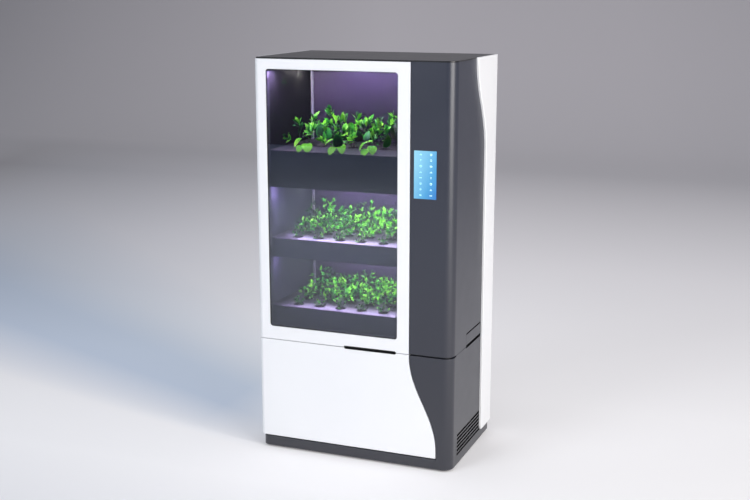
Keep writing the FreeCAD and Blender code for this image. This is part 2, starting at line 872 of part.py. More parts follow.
def make_light_housings():
    bars = []
    for z in light_levels:
        for y in light_places:
            bar = box(chamber_left + trough_side_gap, chamber_right - trough_side_gap,
                      y - light_width / 2, y + light_width / 2, z, z + light_height)
            bars.append(bar.cut(box(chamber_left + trough_side_gap + light_rim,
                                    chamber_right - trough_side_gap - light_rim,
                                    y - light_width / 2 + light_rim, y + light_width / 2 - light_rim,
                                    z, z + light_lens + light_rim)))
    return Part.makeCompound(bars)


def make_light_lenses():
    edge = trough_side_gap + light_rim + rest_gap
    return Part.makeCompound([
        box(chamber_left + edge, chamber_right - edge, y - light_width / 2 + light_rim + rest_gap,
            y + light_width / 2 - light_rim - rest_gap, z + light_rim, z + light_rim + light_lens)
        for z in light_levels for y in light_places])


def ring(radius, sides, x, y, z):
    points = [V(x + radius * math.cos(2 * math.pi * n / sides),
                y + radius * math.sin(2 * math.pi * n / sides), z) for n in range(sides)]
    return Part.makePolygon(points + points[:1])


def frustum(low_radius, low, high_radius, high, sides):
    """Tapered solid with plane sides, on the Z axis."""
    bottom = ring(low_radius, sides, 0, 0, low)
    top = ring(high_radius, sides, 0, 0, high)
    faces = [Part.Face(bottom), Part.Face(top)]
    foot = [v.Point for v in bottom.OrderedVertexes]
    head = [v.Point for v in top.OrderedVertexes]
    for n in range(sides):
        m = (n + 1) % sides
        faces.append(Part.Face(Part.makePolygon([foot[n], foot[m], head[m], head[n], foot[n]])))
    return Part.Solid(Part.Shell(faces))


def make_deck(top, step):
    """Planting deck: a plate on the trough's rim with one hole for each pot."""
    plate = box(chamber_left + trough_side_gap, chamber_right - trough_side_gap, trough_front + rest_gap,
                trough_back, top - deck_thickness + rest_gap, top)
    holes = [Part.Face(ring(hole_radius, pot_sides, x, y, top - 2 * deck_thickness)).extrude(
        V(0, 0, 3 * deck_thickness)) for x, y in positions(step)]
    return plate.cut(Part.makeCompound(holes))


def make_pots(top, step):
    """Tapered net pots, closed by the sponge that they hold, each wedged in its hole."""
    neck = hole_radius - rest_gap
    pot = frustum(neck - pot_taper * pot_depth, -pot_depth, neck + pot_taper * pot_stands, pot_stands, pot_sides)
    pots = []
    for x, y in positions(step):
        copy = pot.copy()
        copy.translate(V(x, y, top))
        pots.append(copy)
    return Part.makeCompound(pots)


def facet(a, b, c):
    return Part.Face(Part.makePolygon([a, b, c, a]))


def crown(radius, tall):
    """One young plant as a star of leaves that rises from its stem, closed by plane facets."""
    points = 2 * crown_points
    foot = V(0, 0, 0)
    crest = V(0, 0, tall)
    rim = []
    for n in range(points):
        angle = 2 * math.pi * n / points
        reach, level = (radius, 0.6 * tall) if n % 2 == 0 else (0.45 * radius, 0.4 * tall)
        rim.append(V(reach * math.cos(angle), reach * math.sin(angle), level))
    faces = []
    for n in range(points):
        following = (n + 1) % points
        faces.append(facet(foot, rim[following], rim[n]))
        faces.append(facet(crest, rim[n], rim[following]))
    return Part.Solid(Part.Shell(faces))


def make_plants(top, step, radius, tall, front_share):
    """Plants that are smallest in the front row and full size in the back row."""
    pattern = crown(radius, tall)
    places = positions(step)
    first_y = places[0][1]
    last_y = places[-1][1]
    plants = []
    for n, (x, y) in enumerate(places):
        plant = pattern.copy()
        plant.scale(front_share + (1 - front_share) * (y - first_y) / (last_y - first_y))
        plant.rotate(V(0, 0, 0), V(0, 0, 1), 37.0 * n)
        plant.translate(V(x, y, top + pot_stands + rest_gap))
        plants.append(plant)
    return Part.makeCompound(plants)


def make_riser():
    """Supply pipe up the chamber's corner, with a spout through the back wall of each trough."""
    x, y = riser_x, riser_y
    pipe = rod(riser_radius, (x, y, floor_under - riser_foot), (x, y, roof_under - light_height))
    spouts = [rod(spout_radius, (x, y, rim - spout_drop), (x, trough_back - spout_reach, rim - spout_drop))
              for rim in (lower_rim, middle_rim, upper_rim)]
    return fused([pipe] + spouts)


# Service compartment

tank_left = chamber_left + tank_margin
tank_right = tank_left + tank_length
tank_y0 = carcass_front + tank_front
tank_y1 = chamber_back - tank_back
tank_top = plinth_top + tank_height
pump_x = (tank_right + chamber_right) / 2
pump_y = tank_y1 - pump_radius - 2 * pipe_radius
suction_z = plinth_top + pump_height / 3


def make_tank():
    outer = rounded_box(tank_left, tank_right, tank_y0, tank_y1, plinth_top, tank_top, tank_corner)
    inner = rounded_box(tank_left + tank_wall, tank_right - tank_wall, tank_y0 + tank_wall, tank_y1 - tank_wall,
                        plinth_top + tank_wall, tank_top, tank_corner - tank_wall)
    tank = outer.cut(inner)
    tank = tank.cut(rod(pipe_radius + running, (tank_right - 2 * tank_wall, pump_y, suction_z),
                        (tank_right, pump_y, suction_z)))
    return tank.cut(rod(fill_radius + running, (tank_right - 2 * tank_wall, fill_y, fill_z),
                        (tank_right, fill_y, fill_z)))


def make_tank_lid():
    """Lid that lifts off, located inside the tank's rim by a lip."""
    plate = rounded_box(tank_left, tank_right, tank_y0, tank_y1, tank_top + rest_gap,
                        tank_top + rest_gap + lid_thickness, tank_corner)
    edge = tank_wall + 2 * rest_gap
    lip = rounded_box(tank_left + edge, tank_right - edge, tank_y0 + edge, tank_y1 - edge,
                      tank_top - lid_lip, tank_top + rest_gap, tank_corner - edge)
    inner = edge + tank_wall
    lip = lip.cut(box(tank_left + inner, tank_right - inner, tank_y0 + inner, tank_y1 - inner,
                      tank_top - lid_lip, tank_top + rest_gap))
    middle = ((tank_left + tank_right) / 2, (tank_y0 + tank_y1) / 2)
    knob = rod(2 * pin_radius, (*middle, tank_top + rest_gap), (*middle, tank_top + 5 * pin_radius))
    return fused([plate, lip, knob])


def make_pump():
    """Circulation pump: a round housing with its impeller's chamber inside."""
    motor = rod(pump_radius, (pump_x, pump_y, plinth_top), (pump_x, pump_y, plinth_top + pump_height))
    mouth = rod(pipe_radius + sheet, (pump_x - pump_radius - 2 * sheet, pump_y, suction_z),
                (pump_x, pump_y, suction_z))
    cavity = rod(pump_cavity, (pump_x, pump_y, suction_z + pump_cavity_height),
                 (pump_x, pump_y, suction_z + 2 * pump_cavity_height))
    seat = rod(shaft_radius + running, (pump_x, pump_y, suction_z + pump_cavity_height / 2),
               (pump_x, pump_y, suction_z + pump_cavity_height))
    return fused([motor, mouth]).cut(cavity).cut(seat)


def make_impeller():
    z0 = suction_z + pump_cavity_height
    hub = rod(shaft_radius * 2, (pump_x, pump_y, z0 + impeller_clearance),
              (pump_x, pump_y, z0 + pump_cavity_height - impeller_clearance))
    shaft = rod(shaft_radius, (pump_x, pump_y, z0 - pump_cavity_height / 2 + impeller_clearance),
                (pump_x, pump_y, z0 + impeller_clearance))
    vanes = []
    for n in range(impeller_vanes):
        vane = box(pump_x, pump_x + pump_cavity - 2 * impeller_clearance, pump_y - impeller_clearance,
                   pump_y + impeller_clearance, z0 + impeller_clearance,
                   z0 + pump_cavity_height - impeller_clearance)
        vane.rotate(V(pump_x, pump_y, 0), V(0, 0, 1), 360.0 * n / impeller_vanes)
        vanes.append(vane)
    return fused([hub, shaft] + vanes)


def make_suction_pipe():
    return rod(pipe_radius, (tank_right - tank_wall, pump_y, suction_z),
               (pump_x - pump_radius - 2 * sheet, pump_y, suction_z))


def make_supply_pipe():
    """From the pump's outlet up, over the tank and into the riser's foot."""
    z0 = plinth_top + pump_height
    end = floor_under - riser_foot
    level = end - pipe_bend
    return tube([(pump_x, pump_y, z0), (pump_x, pump_y, level), (riser_x, riser_y, level),
                 (riser_x, riser_y, end)], pipe_bend / 2, riser_radius)


funnel_left = column_left + sheet + pipe_bend
funnel_right = column_inside - 2 * hatch_barrel - rest_gap
funnel_y0 = hatch_y0 + ear
funnel_y1 = hatch_y1 - ear
funnel_low = seam - funnel_drop
funnel_lip = seam + funnel_sill
funnel_top = hatch_top - 4 * hatch_barrel


def make_funnel():
    """Filling trough behind the hatch, with a sloping floor, an outlet and a bracket on the wall."""
    outer = box(funnel_left, funnel_right, funnel_y0, funnel_y1, funnel_low, funnel_top)
    floor = funnel_low + 2 * funnel_wall
    mouth = Part.Face(Part.makePolygon([
        V(funnel_left + funnel_wall, funnel_y0 + funnel_wall, funnel_low + funnel_wall),
        V(funnel_right - funnel_wall, funnel_y0 + funnel_wall, floor + funnel_wall),
        V(funnel_right - funnel_wall, funnel_y0 + funnel_wall, funnel_lip),
        V(funnel_right, funnel_y0 + funnel_wall, funnel_lip),
        V(funnel_right, funnel_y0 + funnel_wall, funnel_top),
        V(funnel_left + funnel_wall, funnel_y0 + funnel_wall, funnel_top),
        V(funnel_left + funnel_wall, funnel_y0 + funnel_wall, funnel_low + funnel_wall)]))
    trough = outer.cut(mouth.extrude(V(0, funnel_y1 - funnel_y0 - 2 * funnel_wall, 0)))
    x = funnel_left + 2 * fill_radius
    spigot = rod(fill_radius + funnel_wall, (x, fill_y, funnel_low - fill_radius), (x, fill_y, funnel_low))
    arm = box(column_left, funnel_left, funnel_y0, funnel_y1, funnel_low, funnel_low + sheet)
    foot = box(column_left, column_left + sheet, funnel_y0, funnel_y1, funnel_low, funnel_top)
    trough = fused([trough, spigot, arm, foot])
    return trough.cut(rod(fill_radius - funnel_wall, (x, fill_y, funnel_low - fill_radius),
                          (x, fill_y, funnel_low + 3 * funnel_wall)))


def make_fill_pipe():
    x = funnel_left + 2 * fill_radius
    path = [(x, fill_y, funnel_low - fill_radius), (x, fill_y, fill_z), (tank_right - tank_wall, fill_y, fill_z)]
    return tube(path, fill_radius, fill_radius)


bottle_y = tank_y0 + bottle_width / 2


def bottle_places():
    room = chamber_right - tank_right
    count = max(1, min(bottle_count, int(room / (bottle_width + sheet))))
    return [tank_right + room * (2 * n + 1) / (2 * count) for n in range(count)]


def make_bottles():
    """Square nutrient bottles with rounded corners."""
    half = bottle_width / 2
    bottles = []
    for x in bottle_places():
        top = plinth_top + bottle_height
        bottles.append(rounded_box(x - half, x + half, bottle_y - half, bottle_y + half,
                                   plinth_top, top, bottle_corner))
    return Part.makeCompound(bottles)


def make_bottle_caps():
    """Twelve-sided caps, screwed down on the bottles' shoulders."""
    z = plinth_top + bottle_height
    return Part.makeCompound([Part.Face(ring(cap_radius, 12, x, bottle_y, z)).extrude(V(0, 0, cap_height))
                              for x in bottle_places()])


fan_y = front + louvre_front + louvre_length / 2
fan_z = louvre_first + (louvre_count - 1) * louvre_pitch / 2 + sheet
fan_x1 = column_inside - rest_gap
fan_x0 = fan_x1 - fan_depth


def make_fan_frame():
    """Square fan frame with a round duct, and a four-armed spider that holds the motor."""
    half = fan_size / 2
    duct_radius = half - fan_wall
    frame = box(fan_x0, fan_x1, fan_y - half, fan_y + half, fan_z - half, fan_z + half)
    frame = frame.cut(rod(duct_radius, (fan_x0, fan_y, fan_z), (fan_x1, fan_y, fan_z)))
    arms = []
    for n in range(4):
        arm = box(fan_x0, fan_x0 + fan_wall, fan_y, fan_y + duct_radius + fan_wall / 2,
                  fan_z - fan_wall / 2, fan_z + fan_wall / 2)
        arm.rotate(V(fan_x0, fan_y, fan_z), V(1, 0, 0), 45.0 + 90.0 * n)
        arms.append(arm)
    boss = rod(fan_hub, (fan_x0, fan_y, fan_z), (fan_x0 + fan_wall, fan_y, fan_z))
    spindle = rod(fan_wall, (fan_x0 + fan_wall, fan_y, fan_z), (fan_x1 - 2 * fan_wall, fan_y, fan_z))
    return fused([frame, boss, spindle] + arms)


def make_fan_rotor():
    """Hub and pitched blades that turn on the frame's spindle."""
    x0 = fan_x0 + fan_wall + running * 10
    x1 = fan_x1 - fan_wall
    chord = (x1 - x0) * 0.9
    hub = rod(fan_hub, (x0, fan_y, fan_z), (x1, fan_y, fan_z))
    sweep = fan_size / 2 - fan_wall - fan_tip_gap
    tip = math.sqrt(sweep ** 2 - (chord / 2) ** 2)
    middle = (x0 + x1) / 2

    blades = []
    for n in range(fan_blades):
        blade = box(middle - blade_thickness / 2, middle + blade_thickness / 2, fan_y - chord / 2,
                    fan_y + chord / 2, fan_z + fan_hub - blade_thickness, fan_z + tip)
        blade.rotate(V(middle, fan_y, fan_z), V(0, 0, 1), blade_angle)
        blade.rotate(V(middle, fan_y, fan_z), V(1, 0, 0), 360.0 * n / fan_blades)
        blades.append(blade)
    return fused([hub] + blades).cut(rod(fan_wall + running, (x0, fan_y, fan_z), (x1 - fan_wall, fan_y, fan_z)))


levels = {
    "upper": (upper_deck, wide_pitch, large_plant_radius, large_plant_height, large_front_share),
    "middle": (middle_deck, pitch, small_plant_radius, small_plant_height, small_front_share),
    "lower": (lower_deck, pitch, small_plant_radius, small_plant_height, small_front_share),
}

parts = {
    "plinth": plinth,
    "levelling_feet": make_feet(),
    "base_plate": make_base_plate(),
    "left_wall": make_left_wall(),
    "left_side_panel": make_left_side_panel(),
    "partition_wall": make_partition(),
    "back_wall": make_back_wall(),
    "chamber_floor": make_chamber_floor(),
    "chamber_roof": make_chamber_roof(),
    "top_panel": make_top_panel(),
    "upper_casing": make_upper_casing(),
    "lower_casing": make_lower_casing(),
    "seam_strip": make_seam_strip(),
    "side_accent": make_side_accent(),
    "display_glass": make_display_glass(),
    "display_housing": make_display_housing(),
    "control_board": make_control_board(),
    "power_supply": make_power_supply(),
    "rear_cover": make_rear_cover(),
    "power_inlet": make_power_inlet(),
    "door_frame": make_door_frame(),
    "door_glass": make_door_glass(),
    "door_inner_frame": make_door_inner_frame(),
    "door_seal": make_door_seal(),
    "upper_grip": make_upper_grip(),
    "lower_door_skin": make_lower_skin(),
    "lower_door_pan": make_lower_pan(),
    "lower_grip": make_lower_grip(),
    "hinge_brackets": make_hinge_brackets(),
    "hinge_pins": make_hinge_pins(),
    "filling_hatch": make_hatch(),
    "filling_funnel": make_funnel(),
    "fill_pipe": make_fill_pipe(),
    "tray_fascias": make_fascias(),
    "tray_shelves": make_shelves(),
    "light_housings": make_light_housings(),
    "light_lenses": make_light_lenses(),
    "upper_trough": make_trough(upper_base, upper_rim),
    "middle_trough": make_trough(middle_base, middle_rim),
    "lower_trough": make_trough(floor_top, lower_rim),
    "riser_pipe": make_riser(),
    "supply_pipe": make_supply_pipe(),
    "suction_pipe": make_suction_pipe(),
    "water_tank": make_tank(),
    "tank_lid": make_tank_lid(),
    "pump_housing": make_pump(),
    "pump_impeller": make_impeller(),
    "nutrient_bottles": make_bottles(),
    "bottle_caps": make_bottle_caps(),
    "fan_frame": make_fan_frame(),
    "fan_rotor": make_fan_rotor(),
}
for name, (deck_top, step, radius, tall, front_share) in levels.items():
    parts[name + "_deck"] = make_deck(deck_top, step)
    parts[name + "_pots"] = make_pots(deck_top, step)
    parts[name + "_plants"] = make_plants(deck_top, step, radius, tall, front_share)

os.makedirs("parts", exist_ok=True)
for name, shape in parts.items():
    shape.exportStep("parts/" + name + ".step")
print(len(parts), "nodes, height", height)
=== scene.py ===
import math
import bpy
import bmesh
import numpy as np
from mathutils import Matrix, Vector


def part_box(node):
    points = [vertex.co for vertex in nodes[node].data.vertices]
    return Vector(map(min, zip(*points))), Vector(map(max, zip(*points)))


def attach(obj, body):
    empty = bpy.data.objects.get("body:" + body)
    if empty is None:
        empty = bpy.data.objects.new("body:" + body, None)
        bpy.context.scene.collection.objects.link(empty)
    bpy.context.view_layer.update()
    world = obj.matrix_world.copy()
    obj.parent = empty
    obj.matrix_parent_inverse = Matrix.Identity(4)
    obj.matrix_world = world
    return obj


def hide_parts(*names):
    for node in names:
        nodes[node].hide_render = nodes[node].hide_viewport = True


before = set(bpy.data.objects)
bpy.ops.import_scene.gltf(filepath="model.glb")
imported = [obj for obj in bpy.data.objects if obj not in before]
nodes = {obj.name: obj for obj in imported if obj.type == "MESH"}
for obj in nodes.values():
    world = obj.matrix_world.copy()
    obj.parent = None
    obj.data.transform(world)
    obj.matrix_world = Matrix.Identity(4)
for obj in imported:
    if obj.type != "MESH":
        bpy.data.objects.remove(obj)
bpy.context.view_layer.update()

scene = bpy.context.scene
scene.view_settings.view_transform = "Standard"


# Camera: it stands in front of the cabinet and to its right, a little above its top, and looks
# down at it. Its place, aim and lens follow from the perspective of the cabinet's corners.

looks_down, looks_left = math.radians(12.42), math.radians(21.52)
camera = bpy.data.objects.new("camera", bpy.data.cameras.new("camera"))
camera.data.sensor_width = 36.0
camera.data.lens = 57.33
camera.location = (1.7409, -4.4426, 1.8635)
camera.rotation_euler = (math.pi / 2 - looks_down, 0.0, looks_left)
scene.collection.objects.link(camera)
scene.camera = camera


# Studio floor and rear wall: one pale sheet of paper that runs back from the cabinet and turns
# up. Painted shade greys it towards the back and darkens it far to the left and beneath the right
# lamp, and the long bluish shadow on the left is painted on it. A painted glow, which only camera
# and mirror rays see, brightens it.


class Sum:
    """A socket of a node tree that can stand in a sum with numbers and other sockets."""

    def __init__(self, tree, socket):
        self.tree = tree
        self.socket = socket

    def work(self, operation, *others):
        node = self.tree.nodes.new("ShaderNodeMath")
        node.operation = operation
        for slot, term in zip(node.inputs, (self, *others)):
            if isinstance(term, Sum):
                self.tree.links.new(term.socket, slot)
            else:
                slot.default_value = term
        return Sum(self.tree, node.outputs[0])

    def __add__(self, other):
        return self.work("ADD", other)

    def __sub__(self, other):
        return self.work("SUBTRACT", other)

    def __rsub__(self, other):
        return self.work("MULTIPLY_ADD", -1.0, other)

    def __mul__(self, other):
        return self.work("MULTIPLY", other)

    def __truediv__(self, other):
        return self.work("DIVIDE", other)

    def __pow__(self, other):
        return self.work("POWER", other)

    def over(self, limit):
        """1 above the limit, 0 elsewhere."""
        return self.work("GREATER_THAN", limit)

    def clamped(self):
        """Held between 0 and 1."""
        return self.work("MINIMUM", 1.0).work("MAXIMUM", 0.0)


class Tree:
    """A node tree in the making, with short ways to add the nodes that come back often."""

    def __init__(self, tree):
        self.tree = tree

    def node(self, kind, settings=None, values=None, output=0):
        node = self.tree.nodes.new(kind)
        for name, value in (settings or {}).items():
            setattr(node, name, value)
        for name, value in (values or {}).items():
            if isinstance(value, Sum):
                self.tree.links.new(value.socket, node.inputs[name])
            else:
                node.inputs[name].default_value = value
        return Sum(self.tree, node.outputs[output])

    def ramp(self, way, *stops):
        """Colours along a way; each stop is a place with its colour, or with one grey."""
        made = self.node("ShaderNodeValToRGB", values={"Fac": way})
        elements = made.socket.node.color_ramp.elements
        while len(elements) < len(stops):
            elements.new(1.0)
        for element, (place, shade) in zip(elements, stops):
            element.position = place
            element.color = (*shade, 1.0) if isinstance(shade, tuple) else (shade, shade, shade, 1.0)
        return made

    def place(self, scale=(1.0, 1.0, 1.0)):
        where = self.node("ShaderNodeTexCoord", output="Object")
        return self.node("ShaderNodeMapping", values={"Vector": where, "Scale": scale})

    def axes(self):
        split = self.node("ShaderNodeSeparateXYZ", values={"Vector": self.place()})
        return [Sum(self.tree, way) for way in split.socket.node.outputs]

    def noise(self, scale, detail=3.0, stretch=(1.0, 1.0, 1.0)):
        return self.node("ShaderNodeTexNoise", values={
            "Vector": self.place(stretch), "Scale": scale, "Detail": detail})

    def blend(self, amount, low, high):
        return self.node("ShaderNodeMix", {"data_type": "RGBA"}, {0: amount, 6: low, 7: high}, output=2)

    def times(self, colour, other):
        return self.node("ShaderNodeMix", {"data_type": "RGBA", "blend_type": "MULTIPLY"},
                         {0: 1.0, 6: colour, 7: other}, output=2)

    def bump(self, height, strength, distance):
        return self.node("ShaderNodeBump", values={
            "Height": height, "Strength": strength, "Distance": distance})


class Finish(Tree):
    """A material in the making."""

    def __init__(self, name):
        self.material = bpy.data.materials.new(name)
        self.material.use_nodes = True
        super().__init__(self.material.node_tree)
        self.tree.nodes.clear()
        self.end = self.tree.nodes.new("ShaderNodeOutputMaterial")

    def ends_in(self, shader):
        self.tree.links.new(shader.socket, self.end.inputs["Surface"])
        return self.material

    def surface(self, **values):
        """Ends in one plain surface; each value goes to the input that it names."""
        named = {key.replace("_", " ").title().replace("Ior", "IOR"): value for key, value in values.items()}
        return self.ends_in(self.node("ShaderNodeBsdfPrincipled", values=named))


def smooth_mesh(name, points, faces):
    """Smoothly shaded mesh of an array of points, whose last axis is x, y, z, and its faces."""
    mesh = bpy.data.meshes.new(name)
    mesh.from_pydata(points.reshape(-1, 3), [], faces)
    mesh.shade_smooth()
    return mesh


def sheet_mesh(name, points):
    """Mesh of a surface given as an array of points (rows, columns, 3), with quads between
    neighbouring points."""
    index = np.arange(points[..., 0].size).reshape(points.shape[:2])
    quads = np.stack([index[:-1, :-1], index[:-1, 1:], index[1:, 1:], index[1:, :-1]], -1)
    return smooth_mesh(name, points, quads.reshape(-1, 4).tolist())


def piece(name, mesh, finish):
    made = bpy.data.objects.new(name, mesh)
    scene.collection.objects.link(made)
    mesh.materials.append(finish)
    return made


floor_front, floor_back, wall_bend, wall_top = -9.0, 8.5, 3.0, 9.0
floor_rows, half_wide = 40, 14.0
turn = np.linspace(0.0, math.pi / 2, 17)[1:]
floor_y = np.concatenate([np.linspace(floor_front, floor_back, floor_rows),
                          floor_back + wall_bend * np.sin(turn), [floor_back + wall_bend]])
floor_z = np.concatenate([np.zeros(floor_rows), wall_bend - wall_bend * np.cos(turn), [wall_top]])
floor_x = np.linspace(-half_wide, half_wide, 29)
paper = np.stack(np.broadcast_arrays(floor_x[None, :], floor_y[:, None], floor_z[:, None]), -1)

# Ways over the paper, each from 0 to 1: back and up the wall, across along the line of sight,
# across the long shadow, which widens to the left, and out from a spot beneath the right lamp.
paper_finish = Finish("studio_paper")
paper_x, paper_y, paper_z = paper_finish.axes()
run_back = (paper_y + paper_z - floor_front) / (floor_back + wall_bend + wall_top)
aside = (paper_x + paper_y * 0.34 + 8.6) / 14.0
shadow_wide = (paper_x * -0.35 + 0.5).work("MAXIMUM", 0.2)
shadow_way = (paper_y + paper_x * 0.315 + 0.356) / shadow_wide / 3.0 + 0.1
lamp_way = ((paper_x - 3.6) ** 2.0 + (paper_y + 0.6) ** 2.0) ** 0.5 / 5.0

# Painted shade: the paper greys towards the back and up the wall, and is bluish far in front of the cabinet.
paper_shade = paper_finish.ramp(
    run_back, (0.0, (0.36, 0.44, 0.62)), (0.05, (0.60, 0.67, 0.84)), (0.12, (0.78, 0.83, 0.95)),
    (0.22, (0.80, 0.82, 0.89)), (0.30, (0.68, 0.69, 0.74)), (0.37, (0.64, 0.64, 0.67)),
    (0.41, (0.78, 0.775, 0.79)), (0.60, (0.58, 0.57, 0.59)), (0.80, (0.40, 0.39, 0.41)),
    (1.0, (0.36, 0.35, 0.37)))
# Painted light: a glow that only camera and mirror rays see, strongest on the floor behind the cabinet and
# weaker up the wall.
paper_glow = paper_finish.ramp(
    run_back, (0.0, 0.0), (0.35, 0.05), (0.415, (0.13, 0.125, 0.125)), (0.473, (0.27, 0.26, 0.26)),
    (0.60, (0.28, 0.265, 0.27)), (0.72, (0.21, 0.198, 0.204)), (0.81, (0.15, 0.142, 0.149)),
    (1.0, (0.20, 0.187, 0.199)))
long_shadow = paper_finish.ramp(
    shadow_way, (0.05, 1.0), (0.12, (0.84, 0.88, 0.94)), (0.20, (0.66, 0.75, 0.87)),
    (0.30, (0.68, 0.77, 0.88)), (0.42, (0.82, 0.87, 0.92)), (0.60, (0.96, 0.97, 0.98)), (0.90, 1.0))
# Painted shade: the paper is a little darker beneath the right lamp, and darker far to the left behind the
# cabinet.
shade_near_lamp = paper_finish.ramp(
    lamp_way, (0.40, 0.84), (0.48, 0.885), (0.58, 0.955), (0.70, 0.99), (0.82, 1.0))
shade_far_left = paper_finish.ramp(
    aside, (0.12, 1.0), (0.20, (0.76, 0.76, 0.77)), (0.28, (0.60, 0.60, 0.61)),
    (0.34, (0.70, 0.71, 0.73)), (0.40, (0.78, 0.79, 0.81)), (0.48, (0.86, 0.87, 0.89)), (0.64, 1.0))
# Painted light: how the glow runs across the picture, strongest a little right of the middle.
sideways = paper_finish.ramp(
    aside, (0.0, 0.10), (0.25, 0.50), (0.42, 0.72), (0.58, 1.0), (0.70, 0.94), (0.82, 0.90), (1.0, 0.70))

left_of_cabinet = (paper_x * -2.0 - 0.6).clamped() * (paper_x * 0.4 + 2.6).clamped()
behind_cabinet = (run_back * -9.0 + 7.6).clamped() * (run_back * 9.0 - 3.8).clamped()
white_card = (1.0, 1.0, 1.0, 1.0)
shadowed = paper_finish.times(paper_finish.blend(left_of_cabinet, white_card, long_shadow), shade_near_lamp)
falloff = paper_finish.times(shadowed, paper_finish.blend(behind_cabinet, white_card, shade_far_left))
seen = paper_finish.node("ShaderNodeLightPath", output="Is Camera Ray")
mirrored = paper_finish.node("ShaderNodeLightPath", output="Is Glossy Ray")
floor = piece("studio_floor", sheet_mesh("studio_floor", paper), paper_finish.surface(
    base_color=paper_finish.times(paper_shade, falloff), roughness=0.9, specular_ior_level=0.1,
    emission_color=paper_finish.blend((seen + mirrored) * sideways, (0.0, 0.0, 0.0, 1.0),
                                      paper_finish.times(paper_glow, falloff)),
    emission_strength=1.0))


# Studio light: a large soft lamp on the right, a small one higher beside it, a wide cool fill
# from the left front, and a surround that is pale overhead and dark near the floor.

world = bpy.data.worlds.new("surround")
scene.world = world
world.use_nodes = True
sky = Tree(world.node_tree)
backing = sky.tree.nodes["Background"]
upward = sky.node("ShaderNodeSeparateXYZ", values={
    "Vector": sky.node("ShaderNodeTexCoord", output="Generated")}, output=2)
dome = sky.ramp(upward, (0.0, (0.06, 0.07, 0.10)), (0.10, (0.10, 0.11, 0.14)),
                (0.45, (0.82, 0.86, 0.94)), (1.0, (0.92, 0.95, 1.0)))
backdrop = sky.blend(sky.node("ShaderNodeLightPath", output="Is Camera Ray"), dome, (0.72, 0.74, 0.78, 1.0))
sky.tree.links.new(backdrop.socket, backing.inputs["Color"])
backing.inputs["Strength"].default_value = 0.62


def lamp(name, place, target, size, watts, colour, size_y=None):
    """Soft rectangular lamp that faces its target."""
    data = bpy.data.lights.new(name, "AREA")
    data.shape = "RECTANGLE"
    data.size = size
    data.size_y = size_y or size
    data.energy = watts
    data.color = colour
    made = bpy.data.objects.new(name, data)
    made.location = place
    made.rotation_euler = (Vector(target) - Vector(place)).to_track_quat("-Z", "Y").to_euler()
    scene.collection.objects.link(made)


lamp("key_lamp", (3.92, -2.45, 1.95), (0.0, 0.0, 0.9), 3.0, 140.0, (1.0, 0.965, 0.93), 2.9)
lamp("side_lamp", (4.6, -1.5, 2.7), (0.0, 0.0, 0.8), 0.9, 76.0, (1.0, 0.95, 0.90))
lamp("fill_lamp", (-2.7, -5.0, 3.7), (0.0, 0.0, 0.8), 3.0, 142.0, (0.91, 0.95, 1.0))


# White outer panels: door frame, lower door, left side and rear accent. Sheet metal, painted
# white in a smooth satin enamel with a trace of orange peel, with its edges eased.

white = Finish("white_enamel")
mottle = white.noise(3.0, 2.0)
white_enamel = white.surface(
    base_color=white.blend(mottle, (0.84, 0.85, 0.87, 1.0), (0.88, 0.885, 0.90, 1.0)),
    roughness=white.noise(9.0, 2.0) * 0.08 + 0.26,
    coat_weight=0.25, coat_roughness=0.08,
    normal=white.bump(white.noise(420.0, 1.0), 0.05, 0.0004))
same_place = 0.00001


def eased(node, radius, finish, name=None):
    """Copy of a CAD node's form with its doubles merged, its flat triangles joined and its
    sharp edges rounded by radius."""
    form = bmesh.new()
    form.from_mesh(nodes[node].data)
    bmesh.ops.remove_doubles(form, verts=form.verts, dist=same_place)
    bmesh.ops.dissolve_limit(form, angle_limit=math.radians(1.0), verts=form.verts, edges=form.edges)
    mesh = bpy.data.meshes.new(name or node + "_eased")
    form.to_mesh(mesh)
    form.free()
    mesh.shade_smooth()
    made = piece(name or node + "_eased", mesh, finish)
    rounding = made.modifiers.new("rounding", "BEVEL")
    rounding.width = radius
    rounding.segments = 3
    rounding.limit_method = "ANGLE"
    rounding.angle_limit = math.radians(32.0)
    rounding.use_clamp_overlap = True
    flatness = made.modifiers.new("flatness", "WEIGHTED_NORMAL")
    flatness.keep_sharp = True
    flatness.weight = 90
    return made


for node, body, radius in (("door_frame", "upper_door", 0.0016), ("lower_door_skin", "lower_door", 0.0016),
                           ("left_side_panel", "cabinet", 0.0012), ("side_accent", "cabinet", 0.0008)):
    panel = eased(node, radius, white_enamel)
    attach(panel, body)
    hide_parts(node)


# Charcoal casings of the control column, with the plinth, top, hatch and rear cover. Moulded
# and rolled panels in a fine satin charcoal, with eased edges. Painted shade darkens the paint
# low down and leaves it paler and bluer high up, and the top panel has a darker copy of it.
# What lies inside the louvres, a narrow edge round each slot, the faces in the gap round the
# hatch and a band along the hatch's edges are painted matt black, painted shade for these
# recesses and gaps.


